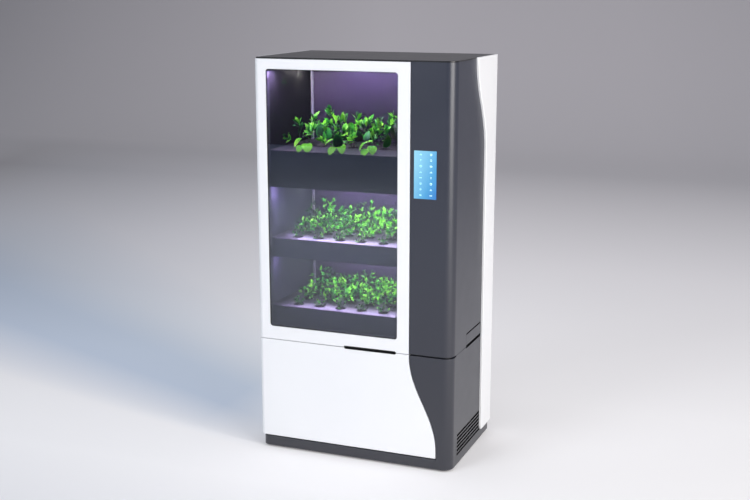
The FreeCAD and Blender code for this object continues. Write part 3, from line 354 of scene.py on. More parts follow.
def satin_charcoal(name, shade_parts, low=(0.017, 0.0178, 0.026), high=(0.028, 0.032, 0.049), gloss=0.78):
    """Satin charcoal paint with a fine speckle and a mottle; painted shade darkens it low down and
    leaves it paler and bluer high up. The last argument gives the share of matt black painted
    shade at a place, such as the inside of a slot."""
    charcoal = Finish(name)
    x, y, z = charcoal.axes()
    speckle = charcoal.noise(900.0, 2.0)
    # Painted shade and light: darker low down, paler and bluer high up, with a random mottle and speckle.
    height_shade_and_mottle = z * 0.5 + charcoal.noise(2.0, 2.0) * 0.2 + speckle * 0.2 - 0.12
    paint = charcoal.node("ShaderNodeBsdfPrincipled", values={
        "Base Color": charcoal.blend(height_shade_and_mottle, (*low, 1.0), (*high, 1.0)),
        "Roughness": charcoal.noise(14.0, 2.0) * 0.06 + 0.29, "Specular IOR Level": gloss,
        "Normal": charcoal.bump(speckle, 0.08, 0.0003)})
    # Matt black for the painted shade in recesses and gaps.
    bare = charcoal.node("ShaderNodeBsdfPrincipled", values={
        "Base Color": (0.002, 0.002, 0.002, 1.0), "Roughness": 0.9, "Specular IOR Level": 0.0})
    return charcoal.ends_in(charcoal.node("ShaderNodeMixShader", values={
        0: shade_parts(x, y, z), 1: paint, 2: bare}))


def within(place, low, high):
    """1 between two limits, 0 outside them."""
    return place.over(low) * (1.0 - place.over(high))


casing_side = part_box("lower_casing")[1][0]
skin, casing_deep = 0.003, 0.06
hatch_low, hatch_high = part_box("filling_hatch")
# Widths and reaches of the painted black shade: round the hatch, and in and round the louvres.
edge_shade_wide, gap_reach, gap_above, face_depth = 0.0042, 0.012, 0.008, 0.0007
louvre_pitch, louvre_tall, louvre_low, louvre_shade_edge = 0.0156, 0.0075, 0.0470, 0.0012
louvre_run, louvre_steps = (-0.1782, 0.1422), 5.7
recess_y, recess_z = (-0.19, 0.155), (0.040, 0.140)


def slot_shade(x, y, z):
    """Painted shade in matt black: the louvres with a narrow edge round each slot, and the faces
    behind the skin round them and round the hatch."""
    step = (z - louvre_low + louvre_shade_edge) / louvre_pitch
    slots = 1.0 - step.work("FRACT").over((louvre_tall + 2.0 * louvre_shade_edge) / louvre_pitch)
    louvres = within(y, *louvre_run) * within(step, 0.0, louvre_steps) * slots * x.over(casing_side - skin)
    behind_louvres = within(y, *recess_y) * within(z, *recess_z)
    behind_hatch = within(y, hatch_low[1] - gap_reach, hatch_high[1] + gap_reach) * within(
        z, hatch_low[2] - gap_reach, hatch_high[2] + gap_above)
    recess_shade = (behind_louvres + behind_hatch) * within(x, casing_side - casing_deep, casing_side - face_depth)
    return recess_shade.work("MAXIMUM", louvres)


def hatch_edge_shade(x, y, z):
    """Painted shade: a matt black band along the hatch's edges, for the shadow of the gap round it."""
    bare = within(y, hatch_low[1] + edge_shade_wide, hatch_high[1] - edge_shade_wide) * within(
        z, hatch_low[2] + edge_shade_wide, hatch_high[2] - edge_shade_wide)
    return 1.0 - bare * x.over(hatch_high[0] - skin)


def dress(finish, *names):
    """Gives CAD nodes their finish."""
    for name in names:
        for place in nodes[name].material_slots:
            place.material = finish


charcoal_satin = satin_charcoal("charcoal_satin", slot_shade)
hatch_satin = satin_charcoal("hatch_satin", hatch_edge_shade)
# Painted shade: the top panel, lit from above, gets a darker and less glossy copy of the charcoal paint.
shaded_top_satin = satin_charcoal("shaded_top_satin", slot_shade, (0.010, 0.010, 0.012), (0.014, 0.014, 0.016), 0.5)
for node, body, radius, finish in (
        ("upper_casing", "cabinet", 0.0010, charcoal_satin),
        ("lower_casing", "cabinet", 0.0010, charcoal_satin),
        ("top_panel", "cabinet", 0.0015, shaded_top_satin),
        ("plinth", "cabinet", 0.0010, charcoal_satin),
        ("filling_hatch", "hatch", 0.0004, hatch_satin)):
    panel = eased(node, radius, finish)
    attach(panel, body)
    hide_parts(node)
dress(charcoal_satin, "rear_cover")


# Chamber lining, shelves and fascias: satin painted sheet, violet grey at the back and a
# plainer grey at the sides; the violet is partly the wall's own colour and partly painted light of
# the grow lights. Both carry painted shade: darker where the upper level begins, the back wall
# paler again towards its roof. The fascias are painted darker up high. The inner door frame and
# the lower door's pan are nearly black.


def satin_sheet(name, low, high, gloss, shine=0.5, sheet_height_shade=((0.0, 1.0), (1.0, 1.0))):
    """Satin painted sheet between two shades, with a fine grain; the last argument is a ramp of
    painted shade over the cabinet's height that tones it."""
    sheet = Finish(name)
    toned = sheet.ramp(sheet.axes()[2] / 1.6, *sheet_height_shade)
    return sheet.surface(
        base_color=sheet.times(sheet.blend(sheet.noise(5.0, 3.0), (*low, 1.0), (*high, 1.0)), toned),
        roughness=sheet.noise(30.0, 2.0) * 0.08 + gloss, specular_ior_level=shine,
        normal=sheet.bump(sheet.noise(700.0, 2.0), 0.06, 0.0003))


# Painted shade: the back wall darkens sharply where the upper level begins and grows paler again up to its
# roof.
dress(satin_sheet("back_lining", (0.042, 0.031, 0.060), (0.055, 0.041, 0.076), 0.45, 0.3, (
    (0.0, 1.0), (0.760, 1.0), (0.775, (0.30, 0.36, 0.30)), (0.90, (0.95, 0.96, 0.97)), (1.0, 1.0))),
    "back_wall", "chamber_roof")
# Painted shade: the side walls, partition, floor and shelves are darker all through the upper level.
dress(satin_sheet("side_lining", (0.034, 0.036, 0.046), (0.042, 0.044, 0.056), 0.45, 0.1, (
    (0.0, 1.0), (0.74, 1.0), (0.77, (0.20, 0.19, 0.15)), (1.0, (0.17, 0.16, 0.12)))),
    "left_wall", "partition_wall", "chamber_floor", "tray_shelves")
dress(satin_sheet("front_lining", (0.020, 0.021, 0.024), (0.028, 0.029, 0.033), 0.40),
      "door_inner_frame", "lower_door_pan")
fascia = Finish("fascia_sheet")
# Painted shade and light: the upper fascia is dark, the two lower ones paler and bluer, with a random mottle.
upper_fascia_shade = (fascia.axes()[2] * 6.0 - 5.6).clamped()
dress(fascia.surface(
    base_color=fascia.blend(upper_fascia_shade + fascia.noise(5.0, 3.0) * 0.1 - 0.05,
                            (0.092, 0.098, 0.138, 1.0), (0.036, 0.036, 0.040, 1.0)),
    roughness=fascia.noise(30.0, 2.0) * 0.08 + 0.40,
    normal=fascia.bump(fascia.noise(700.0, 2.0), 0.06, 0.0003)), "tray_fascias")


# Door glass: a sealed unit of lightly tinted float glass, clamped between the outer and the
# inner frame, with a narrow black band fired on round its edge.

band_wide, mirror_gain = 0.012, 1.7
pane = Finish("door_glass")
clear = pane.node("ShaderNodeBsdfTransparent", values={"Color": (0.62, 0.63, 0.66, 1.0)})
shine = pane.node("ShaderNodeBsdfGlossy", values={"Color": (0.90, 0.95, 1.0, 1.0), "Roughness": 0.015})
band = pane.node("ShaderNodeBsdfPrincipled", values={
    "Base Color": (0.006, 0.006, 0.007, 1.0), "Roughness": 0.12})
fresnel = pane.node("ShaderNodeFresnel", values={"IOR": 1.5})


def past_edge(place, low, high):
    """1 within the band's width of either edge of the glass."""
    return ((place - (low + high) / 2) ** 2.0).over(((high - low) / 2 - band_wide) ** 2)


glass_low, glass_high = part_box("door_glass")
glass_x, _, glass_z = pane.axes()
in_band = past_edge(glass_x, glass_low[0], glass_high[0]) + past_edge(glass_z, glass_low[2], glass_high[2])
bare = pane.node("ShaderNodeMixShader", values={0: fresnel * mirror_gain, 1: clear, 2: shine})
dress(pane.ends_in(pane.node("ShaderNodeMixShader", values={0: in_band, 1: bare, 2: band})), "door_glass")


# Black trim: grip pockets, seam strip, filling funnel, mains inlet, display housing, fan, pump,
# caps and feet. Moulded in black plastic with a fine grain.

black = Finish("black_plastic")
grain = black.noise(1400.0, 2.0)
black_plastic = black.surface(
    base_color=black.blend(grain, (0.008, 0.008, 0.009, 1.0), (0.018, 0.018, 0.020, 1.0)),
    roughness=black.noise(60.0, 2.0) * 0.1 + 0.42,
    normal=black.bump(grain, 0.15, 0.0003))
dress(black_plastic, "upper_grip", "lower_grip", "seam_strip", "power_inlet", "display_housing", "fan_frame",
      "fan_rotor", "pump_housing", "pump_impeller", "bottle_caps", "levelling_feet", "filling_funnel")


# Door seal: a loop of extruded black rubber that is pushed into the inner frame and closes
# against the front of the cabinet.

rubber = Finish("seal_rubber")
dress(rubber.surface(
    base_color=rubber.blend(rubber.noise(40.0), (0.016, 0.016, 0.017, 1.0), (0.03, 0.03, 0.031, 1.0)),
    roughness=rubber.noise(200.0) * 0.1 + 0.62), "door_seal")


# Dust filter: a black fibre mat with fine pleats that lines the casing behind its louvres and
# steps in behind the fan. It is made near black, painted shade for the dark inside the column.


def thickened(sheet, thick, offset=0.0):
    """Gives a sheet its thickness."""
    wall = sheet.modifiers.new("thickness", "SOLIDIFY")
    wall.thickness = thick
    wall.offset = offset


fan_low, fan_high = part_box("fan_frame")
mat_out, mat_in = casing_side - 0.0045, fan_low[0] - 0.003
mat_front, mat_back, mat_low, mat_high = -0.186, 0.150, 0.050, 0.137
pleat_deep, pleat_pitch = 0.0007, 0.004
path = np.array([(mat_out, mat_front), (mat_out, fan_low[1] - 0.006), (mat_in, fan_low[1] - 0.002),
                 (mat_in, fan_high[1] + 0.002), (mat_out, fan_high[1] + 0.006), (mat_out, mat_back)])
pleat_z = np.linspace(mat_low, mat_high, 175)
pleat = pleat_deep * np.sin(pleat_z * 2.0 * math.pi / pleat_pitch)
mat_points = np.stack(np.broadcast_arrays(path[:, None, 0] + pleat, path[:, None, 1], pleat_z[None, :]), -1)
fibre = Finish("filter_fibre")
strands = fibre.noise(1800.0, 3.0, (1.0, 1.0, 0.15))
louvre_filter = piece("louvre_filter", sheet_mesh("louvre_filter", mat_points), fibre.surface(
    base_color=fibre.blend(strands, (0.002, 0.002, 0.002, 1.0), (0.006, 0.006, 0.006, 1.0)),
    roughness=fibre.noise(80.0) * 0.1 + 0.85, specular_ior_level=0.1,
    normal=fibre.bump(strands, 0.4, 0.0004)))
thickened(louvre_filter, 0.0006)
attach(louvre_filter, "cabinet")


# Steel pieces: base plate, hinge plates and pins, and the power supply's cage. Pressed or
# turned from mild steel and zinc plated.

steel = Finish("zinc_steel")
dress(steel.surface(
    base_color=steel.blend(steel.noise(18.0, 3.0), (0.50, 0.51, 0.53, 1.0), (0.63, 0.63, 0.64, 1.0)),
    metallic=1.0, roughness=steel.noise(60.0, 3.0, (1.0, 6.0, 1.0)) * 0.18 + 0.28,
    normal=steel.bump(steel.noise(300.0, 2.0), 0.05, 0.0002)),
    "base_plate", "power_supply", "hinge_brackets", "hinge_pins")


# Control board: a glass-fibre board under a green solder mask, with its copper tracks showing
# through as a paler grid.

board = Finish("circuit_board")
tracks = board.node("ShaderNodeTexBrick", values={
    "Vector": board.place(), "Scale": 160.0, "Mortar Size": 0.01,
    "Color1": (0.012, 0.10, 0.04, 1.0), "Color2": (0.016, 0.13, 0.05, 1.0),
    "Mortar": (0.03, 0.22, 0.09, 1.0)})
dress(board.surface(base_color=tracks, roughness=board.noise(50.0) * 0.1 + 0.35), "control_board")


# Nutrient troughs: dark moulded plastic, one under each planting deck, which lies on its rim.
# Tank, lid and bottles: blow-moulded milky plastic. Pipes: smooth grey tube, pushed on.

trough = Finish("trough_plastic")
dress(trough.surface(
    base_color=trough.blend(trough.noise(12.0), (0.022, 0.022, 0.025, 1.0), (0.034, 0.034, 0.038, 1.0)),
    roughness=trough.noise(80.0) * 0.1 + 0.45), "upper_trough", "middle_trough", "lower_trough")

milky = Finish("milky_plastic")
dress(milky.surface(
    base_color=milky.blend(milky.noise(8.0), (0.66, 0.70, 0.74, 1.0), (0.74, 0.77, 0.80, 1.0)),
    roughness=milky.noise(120.0) * 0.1 + 0.34,
    normal=milky.bump(milky.noise(90.0, 2.0), 0.1, 0.0005)), "water_tank", "tank_lid", "nutrient_bottles")

pipe = Finish("pipe_plastic")
dress(pipe.surface(
    base_color=pipe.blend(pipe.noise(20.0), (0.19, 0.19, 0.22, 1.0), (0.24, 0.24, 0.27, 1.0)),
    roughness=pipe.noise(150.0) * 0.08 + 0.25), "riser_pipe", "supply_pipe", "suction_pipe", "fill_pipe")


# Grow lights: extruded aluminium housings with lit lenses, under each shelf and the roof. Long
# soft lamps stand for the bars, and short ones for the glare at their left ends.

metal = Finish("light_housing")
dress(metal.surface(
    base_color=metal.blend(metal.noise(30.0), (0.58, 0.59, 0.61, 1.0), (0.66, 0.67, 0.69, 1.0)),
    metallic=1.0, roughness=metal.noise(60.0, 3.0, (1.0, 30.0, 30.0)) * 0.15 + 0.35), "light_housings")

glow = Finish("light_lens")
diodes = glow.node("ShaderNodeTexVoronoi", values={"Vector": glow.place((1.0, 0.0, 0.0)), "Scale": 60.0})
dress(glow.surface(
    base_color=(0.8, 0.8, 0.85, 1.0), roughness=0.3,
    emission_color=glow.blend(diodes, (0.86, 0.66, 1.0, 1.0), (0.50, 0.32, 1.0, 1.0)), emission_strength=7.0),
    "light_lenses")

lens_low, lens_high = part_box("light_lenses")
front_bar, rear_bar = lens_low[1] + 0.012, lens_high[1] - 0.012
bar_wide = 0.02
for level, height, watts, ends in (
        ("upper", 1.543, 4.4, 1.0), ("middle", 1.081, 4.0, 0.28), ("lower", 0.796, 2.6, 0.16)):
    for bar, x, y, long, share, colour in (
            ("front", -0.03, front_bar, 0.42, 0.85, (0.72, 0.58, 1.0)),
            ("middle", -0.03, -0.03, 0.42, 0.8, (1.0, 0.97, 0.90)),
            ("rear", -0.04, rear_bar + 0.062, 0.46, 0.8, (0.82, 0.68, 1.0)),
            ("end", -0.346, front_bar + 0.01, 0.03, 1.5 * ends, (0.66, 0.48, 1.0)),
            ("rear_end", -0.362, rear_bar, 0.03, 0.42 * ends, (1.0, 0.92, 0.84))):
        lamp(level + "_" + bar + "_bar", (x, y, height), (x, y, 0.0), long, watts * share, colour, bar_wide)


# Display: a lit panel behind thin glass with eased corners, flush in the column. Two columns of
# small signs stand on it: a sun, drops, waves, bars, arrows, a clock, a triangle and dots.

screen_low, screen_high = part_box("display_glass")
screen_wide, screen_tall = screen_high[0] - screen_low[0], screen_high[2] - screen_low[2]
screen = Finish("display_glow")
screen_x, _, screen_z = screen.axes()
right_way = (screen_x - screen_low[0]) / screen_wide
down_way = (screen_z * -1.0 + screen_high[2]) / screen_tall
screen_shade = screen.ramp(
    right_way * 0.55 + down_way * 0.45 + screen.noise(16.0, 1.0) * 0.14 - 0.07,
    (0.0, (0.23, 0.48, 0.60)), (0.35, (0.15, 0.38, 0.54)), (0.7, (0.06, 0.25, 0.46)),
    (1.0, (0.03, 0.15, 0.40)))
display_glow = screen.surface(base_color=screen_shade, roughness=screen.noise(40.0) * 0.04 + 0.10,
                              emission_color=screen_shade, emission_strength=0.50)
panel = eased("display_glass", 0.0006, display_glow, "display_panel")
panel.data.transform(Matrix.Translation((0.0, 0.0004, 0.0)))
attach(panel, "cabinet")
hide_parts("display_glass")


def stroke(path, wide):
    """Flat line of constant width along a path of points (x, z): two rows of points, one at
    each side of the path, half a width away."""
    path = np.asarray(path, float)
    along = np.gradient(path, axis=0)
    aside = np.stack([-along[:, 1], along[:, 0]], -1)
    aside /= np.linalg.norm(aside, axis=1, keepdims=True)
    return np.stack([path - aside * wide / 2, path + aside * wide / 2], 1)


turns = np.linspace(0.0, 2.0 * math.pi, 17)
ring_path = np.stack([np.cos(turns), np.sin(turns)], -1)
drop_path = ring_path * np.where(ring_path[:, 1:] > 0.0, [[0.62, 1.0]], 0.62)
wave_path = np.stack([np.linspace(-1.0, 1.0, 13), 0.32 * np.sin(np.linspace(0.0, 4.0 * math.pi, 13))], -1)
rays = [[(0.75 * math.cos(a), 0.75 * math.sin(a)), (1.1 * math.cos(a), 1.1 * math.sin(a))]
        for a in np.arange(8) * math.pi / 4]
bars = [[(x, -0.7), (x, top)] for x, top in ((-0.8, 0.0), (-0.27, 0.4), (0.27, 0.8), (0.8, 0.2))]
signs = (
    [0.5 * ring_path] + rays,
    [drop_path, [(-0.25, -0.2), (0.0, -0.4), (0.25, -0.2)]],
    [wave_path + (0.0, 0.45), wave_path - (0.0, 0.35)],
    bars,
    [[(0.0, -0.8), (0.0, 0.8)], [(-0.5, 0.3), (0.0, 0.8), (0.5, 0.3)]],
    [0.9 * ring_path, [(0.0, 0.0), (0.0, 0.6)], [(0.0, 0.0), (0.4, 0.0)]],
    [[(-0.9, -0.6), (0.0, 0.7), (0.9, -0.6), (-0.9, -0.6)]],
    [0.22 * ring_path, 0.22 * ring_path + (0.75, 0.0), 0.22 * ring_path - (0.75, 0.0)])
sign_size, sign_line, sign_front = 0.0045, 0.0011, screen_low[1] + 0.0001
top_row, row_step = 0.075, 0.121
strokes = []
for column, first in ((0.30, 3), (0.76, 0)):
    for row in range(len(signs)):
        centre = np.array([screen_low[0] + column * screen_wide,
                           screen_high[2] - (top_row + row_step * row) * screen_tall])
        for path in signs[(first + row) % len(signs)]:
            strokes.append(centre + stroke(np.asarray(path) * sign_size, sign_line))
corners, faces = [], []
for flat in strokes:
    steps = np.arange(len(flat) - 1) * 2 + sum(len(done) for done in corners)
    faces += np.stack([steps, steps + 2, steps + 3, steps + 1], -1).tolist()
    upright = np.stack([flat[..., 0], np.full(flat.shape[:2], sign_front), flat[..., 1]], -1)
    corners.append(upright.reshape(-1, 3))
sign_mesh = bpy.data.meshes.new("display_signs")
sign_mesh.from_pydata(np.concatenate(corners), [], faces)
sign = Finish("display_sign")
sign_way = (sign.axes()[0] - screen_low[0]) / screen_wide
sign_shade = sign.blend(sign_way, (0.20, 0.55, 0.78, 1.0), (0.72, 0.95, 1.0, 1.0))
display_signs = piece("display_signs", sign_mesh, sign.surface(
    base_color=sign_shade, roughness=0.3, emission_color=sign_shade, emission_strength=0.9))
thickened(display_signs, 0.0003)
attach(display_signs, "cabinet")


# Planting decks: moulded plates that lie on the rims of the troughs, with one round hole
# for each pot. Each hole has a soft raised lip, moulded in one with the plate.

hole = 0.0205
lip = ((0.0, 0.0002), (0.0006, 0.0010), (0.0018, 0.0011), (0.0030, 0.0004), (0.0042, 0.0))
first_row = 0.0457
around = 32
# Depths and width of the pale front edge, the unshaded front strip and the painted shade on the decks.
rim_deep, unshaded_deep, left_shade_wide = 0.006, 0.035, 0.12


def hole_places(level, pitch):
    """Centres of a deck's holes: rows of equal pitch, centred from side to side, the first row
    a fixed way behind the front edge."""
    low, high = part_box(level + "_deck")
    columns = int((high[0] - low[0] - 2 * hole) / pitch)
    rows = int((high[1] - low[1] - first_row - hole) / pitch) + 1
    xs = (low[0] + high[0]) / 2 + (np.arange(columns) - (columns - 1) / 2) * pitch
    ys = low[1] + first_row + np.arange(rows) * pitch
    return xs, ys


def ring_quads(shape):
    """Numbers of the points of closed rings, as an array (number, rows, around), and the quads
    between neighbouring rings."""
    index = np.arange(math.prod(shape)).reshape(shape)
    beside = np.roll(index, -1, 2)
    return index, np.stack([index[:, :-1], index[:, 1:], beside[:, 1:], beside[:, :-1]], -1)


def deck_mesh(name, low, high, xs, ys):
    """Top face of a deck. Each hole has its own cell of the plate, and the cell's grid runs from
    the lip outwards: point = (1 - t) * circle + t * rectangle, with 32 points round."""
    border_x = np.concatenate([[low[0]], (xs[1:] + xs[:-1]) / 2, [high[0]]])
    border_y = np.concatenate([[low[1]], (ys[1:] + ys[:-1]) / 2, [high[1]]])
    side = np.linspace(-1.0, 1.0, around // 4 + 1)[:-1]
    one = np.ones_like(side)
    square = np.concatenate([np.stack(pair, -1) for pair in (
        (side, -one), (one, side), (-side, one), (-one, -side))])
    angle = -0.75 * math.pi + np.arange(around) * 2.0 * math.pi / around
    circle = np.stack([np.cos(angle), np.sin(angle)], -1)
    cell_x, cell_y = np.meshgrid(np.arange(len(xs)), np.arange(len(ys)), indexing="ij")
    centre = np.stack([xs[cell_x], ys[cell_y]], -1).reshape(-1, 1, 2)
    near = np.stack([border_x[cell_x], border_y[cell_y]], -1).reshape(-1, 1, 2)
    far = np.stack([border_x[cell_x + 1], border_y[cell_y + 1]], -1).reshape(-1, 1, 2)
    outer = (near + far) / 2 + (far - near) / 2 * square
    level = np.full(outer.shape[:2] + (1,), high[2])
    rings = [np.concatenate([centre + (hole + out) * circle, level + rise], -1) for out, rise in lip]
    last = rings[-1][..., :2]
    rings += [np.concatenate([(1.0 - t) * last + t * outer, level], -1) for t in (0.5, 1.0)]
    grid = np.stack(rings, 1)
    mesh = smooth_mesh(name, grid, ring_quads(grid.shape[:3])[1].reshape(-1, 4).tolist())
    form = bmesh.new()
    form.from_mesh(mesh)
    bmesh.ops.remove_doubles(form, verts=form.verts, dist=same_place)
    form.to_mesh(mesh)
    form.free()
    return mesh


def deck_finish(name, low, high, rim, deep, shaded):
    """Moulded plastic between two shades, with a faint grain and a pale front edge; painted shade
    darkens it over the depth deep behind an unshaded front strip, where the plants shade it, and
    towards its left end, with a random mottle."""
    deck = Finish(name)
    x, y, _ = deck.axes()
    left_edge, front_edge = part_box("middle_deck")[0][0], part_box("middle_deck")[0][1]
    # Painted shade: darker behind the front strip and towards the deck's left end, with a random mottle.
    back_way = (y - front_edge - unshaded_deep) / deep
    left_way = (left_edge - x) / left_shade_wide + 1.3
    shade_amount = back_way.work("MAXIMUM", left_way) + deck.noise(11.0, 3.0) * 0.6 - 0.3
    unshaded = deck.blend(deck.noise(14.0), (*low, 1.0), (*high, 1.0))
    edged = deck.blend(y.over(front_edge + rim_deep), (*rim, 1.0), unshaded)
    return deck.surface(
        base_color=deck.blend(shade_amount.clamped(), edged, (*shaded, 1.0)),
        roughness=deck.noise(90.0) * 0.1 + 0.46, specular_ior_level=0.3,
        normal=deck.bump(deck.noise(260.0, 2.0), 0.06, 0.0003))


pale_deck = deck_finish("deck_plastic", (0.30, 0.27, 0.33), (0.40, 0.37, 0.43), (0.36, 0.33, 0.39), 0.055,
                        (0.034, 0.032, 0.037))
# Painted shade: the upper deck is a near-black shaded copy of the deck plastic, with only its front edge pale.
shaded_grey_deck = deck_finish("upper_deck_plastic", (0.012, 0.010, 0.012), (0.024, 0.020, 0.024),
                        (0.12, 0.10, 0.115), 0.3, (0.008, 0.007, 0.008))
planting = {}
for level, pitch, finish in (
        ("upper", 0.138, shaded_grey_deck), ("middle", 0.0925, pale_deck), ("lower", 0.0925, pale_deck)):
    xs, ys = hole_places(level, pitch)
    planting[level] = np.stack(np.meshgrid(xs, ys, indexing="ij"), -1).reshape(-1, 2)
    low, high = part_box(level + "_deck")
    name = level + "_planting_deck"
    plate = piece(name, deck_mesh(name, low, high, xs, ys), finish)
    thickened(plate, high[2] - low[2], -1.0)
    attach(plate, level + "_planter")
    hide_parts(level + "_deck")


# Net pots: black moulded baskets that hang in the holes by their rims, with upright slots for
# the roots. A dark rooting sponge fills each one to just below its rim.

pot_rows = ((0.0221, 0.0015), (0.0224, 0.0020), (0.0214, 0.0022), (0.0203, 0.0016), (0.0193, -0.003),
            (0.0186, -0.007), (0.0166, -0.017), (0.0147, -0.0265), (0.0141, -0.0295), (0.0136, -0.0340))
rim_rows, hoop_row, pot_around, sponge_around = 5, 7, 32, 20


def rings_round(centres, radius, height, angle):
    """Points of rings round each centre, as an array (number, rows, around, 3): the centre plus
    radius times the angle's cosine and sine, at the given height."""
    ring = np.stack(np.broadcast_arrays(radius * np.cos(angle), radius * np.sin(angle), height), -1)
    return ring + np.column_stack([centres, np.zeros(len(centres))])[:, None, None]


def pot_mesh(name, centres, top):
    """Basket walls: rings of the given radius and height round each centre. In the slotted rows
    one panel in two is left open."""
    angle = np.arange(pot_around) * 2.0 * math.pi / pot_around
    profile = np.array(pot_rows)
    points = rings_round(centres, profile[:, :1], profile[:, 1:] + top, angle)
    quads = ring_quads(points.shape[:3])[1]
    row, column = np.meshgrid(np.arange(len(profile) - 1), np.arange(pot_around), indexing="ij")
    closed = (row < rim_rows) | (row == hoop_row) | (column % 2 == 0)
    return smooth_mesh(name, points, quads[:, closed].reshape(-1, 4).tolist())


def sponge_mesh(name, centres, top):
    """Low domes: radius from 0 at the middle to the pot's wall, height falling with its square,
    with a slow wave round it; the last ring turns down into the pot."""
    angle = np.arange(sponge_around) * 2.0 * math.pi / sponge_around
    radius = np.array([0.0005, 0.006, 0.012, 0.0165, 0.0187, 0.0176])[:, None]
    dome = -0.0022 - 14.0 * radius ** 2 + 0.0005 * np.sin(3.0 * angle + 400.0 * radius)
    dome[-1] = -0.014
    points = rings_round(centres, radius, dome + top, angle)
    index, quads = ring_quads(points.shape[:3])
    return smooth_mesh(name, points, quads.reshape(-1, 4).tolist() + index[:, 0].tolist())


sponge = Finish("rooting_sponge")
pores = sponge.noise(900.0, 3.0)
sponge_finish = sponge.surface(
    base_color=sponge.blend(pores, (0.018, 0.014, 0.010, 1.0), (0.075, 0.058, 0.040, 1.0)),
    roughness=sponge.noise(60.0) * 0.1 + 0.8, normal=sponge.bump(pores, 0.8, 0.0008))
for level, centres in planting.items():
    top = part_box(level + "_deck")[1][2]
    pots = piece(level + "_net_pots", pot_mesh(level + "_net_pots", centres, top), black_plastic)
    thickened(pots, 0.0007)
    sponges = piece(level + "_sponges", sponge_mesh(level + "_sponges", centres, top), sponge_finish)
    for made in (pots, sponges):
        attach(made, level + "_planter")
    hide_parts(level + "_pots")


# Plants: soft herbs on thin stalks. On the upper level each stalk ends in a cup of toothed
# leaflets and broad round leaves hang over the front; the lower levels hold leafy seedlings
# with small pointed leaves. All leaves stay clear of the glass and the walls. Their tones carry
# painted light and shade: paler up the stalks, at leaf edges and tips, on the hanging leaves and,
# on the lower levels, to the right and at the back; darker on the left and on the broad leaves at
# half height.

up = np.array([0.0, 0.0, 1.0])
toothed = ((0.0, 0.08), (0.28, 0.48), (0.42, 0.60), (0.52, 1.0), (0.62, 0.70), (0.74, 0.96), (0.84, 0.50),
           (1.0, 0.06))
pointed = ((0.0, 0.16), (0.16, 0.52), (0.42, 1.0), (0.60, 0.78), (0.80, 0.34), (1.0, 0.02))
round_leaf = ((0.0, 0.30), (0.10, 0.78), (0.30, 1.0), (0.52, 0.98), (0.74, 0.76), (0.90, 0.42), (1.0, 0.04))


def unit(vectors):
    return vectors / np.linalg.norm(vectors, axis=-1, keepdims=True)


def stalks(foot, lean, rise, thick):
    """Thin five-sided tubes. The middle line is foot + rise * t * up + lean * t^1.7, and the
    radius shrinks to a half at the tip."""
    t = np.linspace(0.0, 1.0, 6)[:, None]
    line = foot[:, None] + rise[:, None, None] * t * up + lean[:, None] * t ** 1.7
    angle = np.arange(5) * 2.0 * math.pi / 5
    reach = thick[:, None, None] * (1.0 - 0.5 * t)
    ring = np.stack([np.cos(angle), np.sin(angle), 0.0 * angle], -1)
    return line[:, :, None] + reach[..., None] * ring


def leaves(root, along, face, size, wide, droop, outline):
    """Leaves as flat closed tubes of six points round. At (s, a) the point is root + along *
    size * s + across * wide * outline(s) * cos(a), lifted by a fold at the midrib and bent down
    by droop * s^2; the thickness is under half a millimetre."""
    s, width = (np.array(outline).T)[..., None]
    angle = np.arange(6) * math.pi / 3
    across = np.cross(face, along)
    aside = wide[:, None, None] * width * np.cos(angle)
    fold = 0.30 * np.abs(aside) + 0.0002 * np.sin(angle) - (droop * size)[:, None, None] * s ** 2
    place = root[:, None, None] + (size[:, None, None] * s)[..., None] * along[:, None, None]
    return place + aside[..., None] * across[:, None, None] + fold[..., None] * face[:, None, None]


wall_gap, press = 0.002, 0.024
chamber_low = np.array([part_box("left_wall")[1][0] + wall_gap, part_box("door_inner_frame")[1][1] + wall_gap])
chamber_high = np.array([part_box("partition_wall")[0][0] - wall_gap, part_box("back_wall")[0][1] - wall_gap])


def pressed(places):
    """Bends what would go through the glass or a wall back inside: past press metres from it,
    a way d becomes press * tanh(d / press)."""
    near, far = chamber_low + press, chamber_high - press
    places = np.where(places < near, near - press * np.tanh((near - places) / press), places)
    return np.where(places > far, far + press * np.tanh((places - far) / press), places)


def foliage_mesh(name, tubes):
    """One mesh of many closed tubes. Each comes as points (number, rows, around, 3) with a tone
    for each tube; the UV map holds the way round and the way along."""
    points, faces, tones, maps, start = [], [], [], [], 0
    for grid, tone in tubes:
        number, rows, sides = grid.shape[:3]
        index = start + np.arange(number * rows * sides).reshape(number, rows, sides)
        beside = np.roll(index, -1, 2)
        quads = np.stack([index[:, :-1], beside[:, :-1], beside[:, 1:], index[:, 1:]], -1)
        faces += quads.reshape(-1, 4).tolist() + index[:, 0, ::-1].tolist() + index[:, -1].tolist()
        points.append(grid.reshape(-1, 3))
        tones.append(np.broadcast_to(tone[:, None, None], index.shape).ravel())
        around_leaf = np.abs(np.cos(np.arange(sides) * 2.0 * math.pi / sides))
        along_leaf = np.linspace(0.0, 1.0, rows)[:, None]
        way = np.stack(np.broadcast_arrays(around_leaf, along_leaf), -1)
        maps.append(np.broadcast_to(way, grid.shape[:3] + (2,)).reshape(-1, 2))
        start += index.size
    points = np.concatenate(points)
    points[:, :2] = pressed(points[:, :2])
    mesh = smooth_mesh(name, points, faces)
    tones = np.concatenate(tones).astype(np.float32)
    mesh.attributes.new("tone", "FLOAT", "POINT").data.foreach_set("value", tones)
    corner = np.zeros(len(mesh.loops), np.int32)
    mesh.loops.foreach_get("vertex_index", corner)
    maps = np.concatenate(maps)[corner].astype(np.float32)
    mesh.uv_layers.new(name="leaf_place").data.foreach_set("uv", maps.ravel())
    mesh.set_sharp_from_angle(angle=math.radians(70.0))
    return mesh


